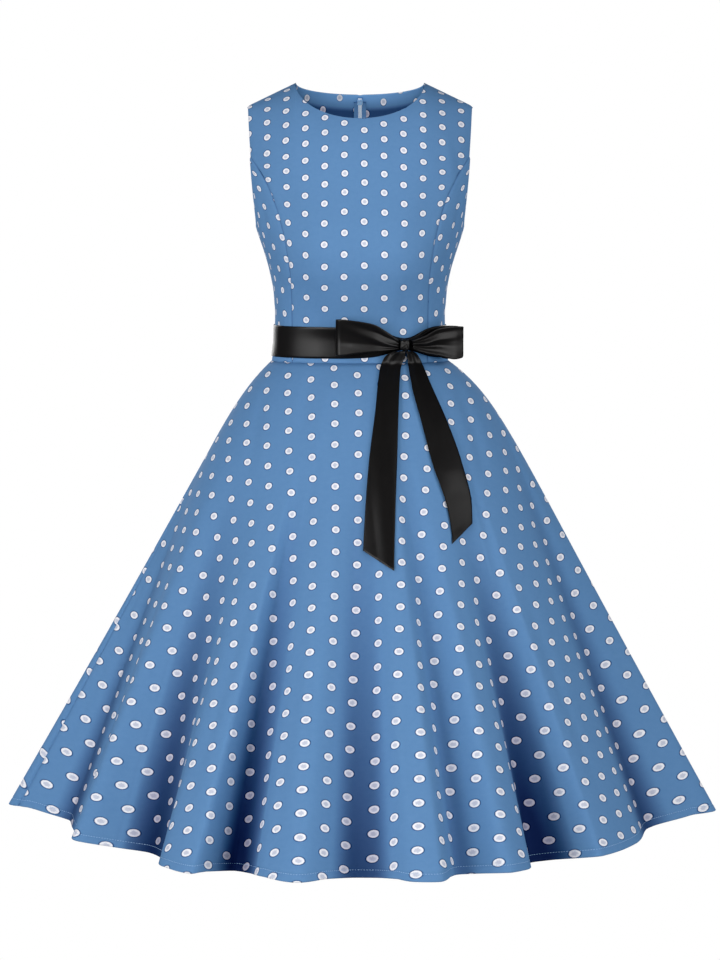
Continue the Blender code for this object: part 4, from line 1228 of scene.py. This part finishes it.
# Knot
# The ribbon passes once over the crossing of sash and loops and is drawn tight, so the knot is a
# small rounded lump with creases across it.
KNOT_SQUARE = 0.78
KNOT_HALF = KNOT_SIZE * 0.49
KNOT_CREASES = (0.05, 0.03)
KNOT_DRAWN_IN = 0.10


def squared(value):
    return np.sign(value) * np.abs(value) ** KNOT_SQUARE


rounds = np.linspace(0, 2 * math.pi, 72, endpoint=False)
rises = np.linspace(-math.pi / 2, math.pi / 2, 40)[:, None]
x = squared(np.cos(rises)) * squared(np.cos(rounds))
y = squared(np.cos(rises)) * squared(np.sin(rounds))
z = squared(np.sin(rises)) + 0 * rounds
creases = KNOT_CREASES[0] * np.cos((x * 1.4 + z * 0.7) * 8.0)
pinch = 1 + creases + KNOT_CREASES[1] * np.cos((x * 0.6 - z) * 13.0)
narrowed = 1 - KNOT_DRAWN_IN * np.cos(z * 1.5)
knot = np.stack([x * narrowed, y * pinch, z], axis=-1) * KNOT_HALF + KNOT_CENTRE
points = np.concatenate([knot[0, :1], knot[1:-1].reshape(-1, 3), knot[-1, :1]])
index = np.arange(1, len(points) - 1).reshape(-1, len(rounds))
after = np.roll(index, -1, axis=1)
faces = np.stack([index[:-1], after[:-1], after[1:], index[1:]], axis=-1).reshape(-1, 4).tolist()
ends = np.stack([index[0], after[0], index[-1], after[-1]], axis=-1)
for low, low_after, high, high_after in ends.tolist():
    faces += [(0, low_after, low), (high, high_after, len(points) - 1)]
knot_piece = piece_from("knot", points, faces, points[:, (2, 0)], satin)
stands_for(knot_piece, "bow_knot")


# Tails
# The ribbon's two loose ends come out from under the knot, hang over the sash and lie down the
# skirt, each cut on a slant.
TAIL_SLANT = 0.022
TAIL_PLEATS = 0.0009
TAIL_FOLD = 0.0013
TAIL_SWAY = 0.0008
TAIL_CURL = 0.0006
TAIL_COLUMNS = "level near far proud"
RIGHT_TAIL = Table(TAIL_COLUMNS, (
    (-0.3418, 0.0435, 0.0575, 0.0085),
    (-0.3450, 0.0352, 0.0578, 0.0076),
    (-0.3520, 0.0295, 0.0558, 0.0060),
    (-0.3640, 0.0250, 0.0512, 0.0046),
    (-0.4150, 0.0190, 0.0480, 0.0040),
    (-0.4750, 0.0110, 0.0460, 0.0036),
    (-0.5300, 0.0065, 0.0435, 0.0034),
    (-0.5900, 0.0030, 0.0415, 0.0034),
))
LEFT_TAIL = Table(TAIL_COLUMNS, (
    (-0.3418, 0.0585, 0.0670, 0.0085),
    (-0.3450, 0.0592, 0.0720, 0.0076),
    (-0.3520, 0.0602, 0.0762, 0.0060),
    (-0.3850, 0.0655, 0.0905, 0.0046),
    (-0.4280, 0.0770, 0.1095, 0.0040),
    (-0.4770, 0.0900, 0.1270, 0.0036),
    (-0.5300, 0.1080, 0.1390, 0.0034),
    (-0.5620, 0.1135, 0.1395, 0.0034),
))


def skirt_front_depth(out, level):
    """How far forward the skirt's front reaches, straight ahead of a distance out."""
    share = (skirt_level(0) - level) / (skirt_level(0) - skirt_level(1))
    azimuth = np.zeros_like(out)
    for _ in range(14):
        azimuth = np.arctan2(out, -skirt_point(azimuth, share)[..., 1])
    return -skirt_point(azimuth, share)[..., 1]


def bow_tail(name, node, table, slant):
    """One loose end: it hangs straight off the sash's edge and then lies along the skirt."""
    share = np.linspace(0, 1, 90)[:, None]
    across = np.linspace(0, 1, 21)
    top, bottom = table.keys[-1], table.keys[0]
    level = top + (bottom - top) * share - slant * (across - 0.5) * share ** 2
    near, far = table.read("near", level), table.read("far", level)
    out = near + (far - near) * across
    on_body = -body_point(body_angle(out, level), level, FRONT)[..., 1]
    on_skirt = skirt_front_depth(out, np.minimum(level, WAIST))
    depth = np.where(level > WAIST, on_body, on_skirt)
    depth = np.maximum(depth, depth[:, :1] + (depth[:, -1:] - depth[:, :1]) * across)
    pleats = np.exp(-share / 0.09) * TAIL_PLEATS * np.cos((across - 0.42) * 12.0)
    fold = TAIL_FOLD * np.exp(-((across - 0.32 - 0.2 * share) / 0.16) ** 2) * np.exp(-share / 0.35)
    sway = TAIL_SWAY * np.sin(share * 11.0 + across * 2.0) * share
    curl = -TAIL_CURL * np.abs(2 * across - 1) ** 4
    proud = table.read("proud", level) + pleats + fold + sway + curl
    points = np.stack([out, -depth - proud, level], axis=-1)
    cut = np.stack([lengths(points, 0), (across - 0.5) * RIBBON_WIDTH + 0 * share], axis=-1)
    ribbon(name, node, points, grid_normals(points), cut)


bow_tail("tail_right", "bow_tail_right", RIGHT_TAIL, TAIL_SLANT)
bow_tail("tail_left", "bow_tail_left", LEFT_TAIL, -TAIL_SLANT)
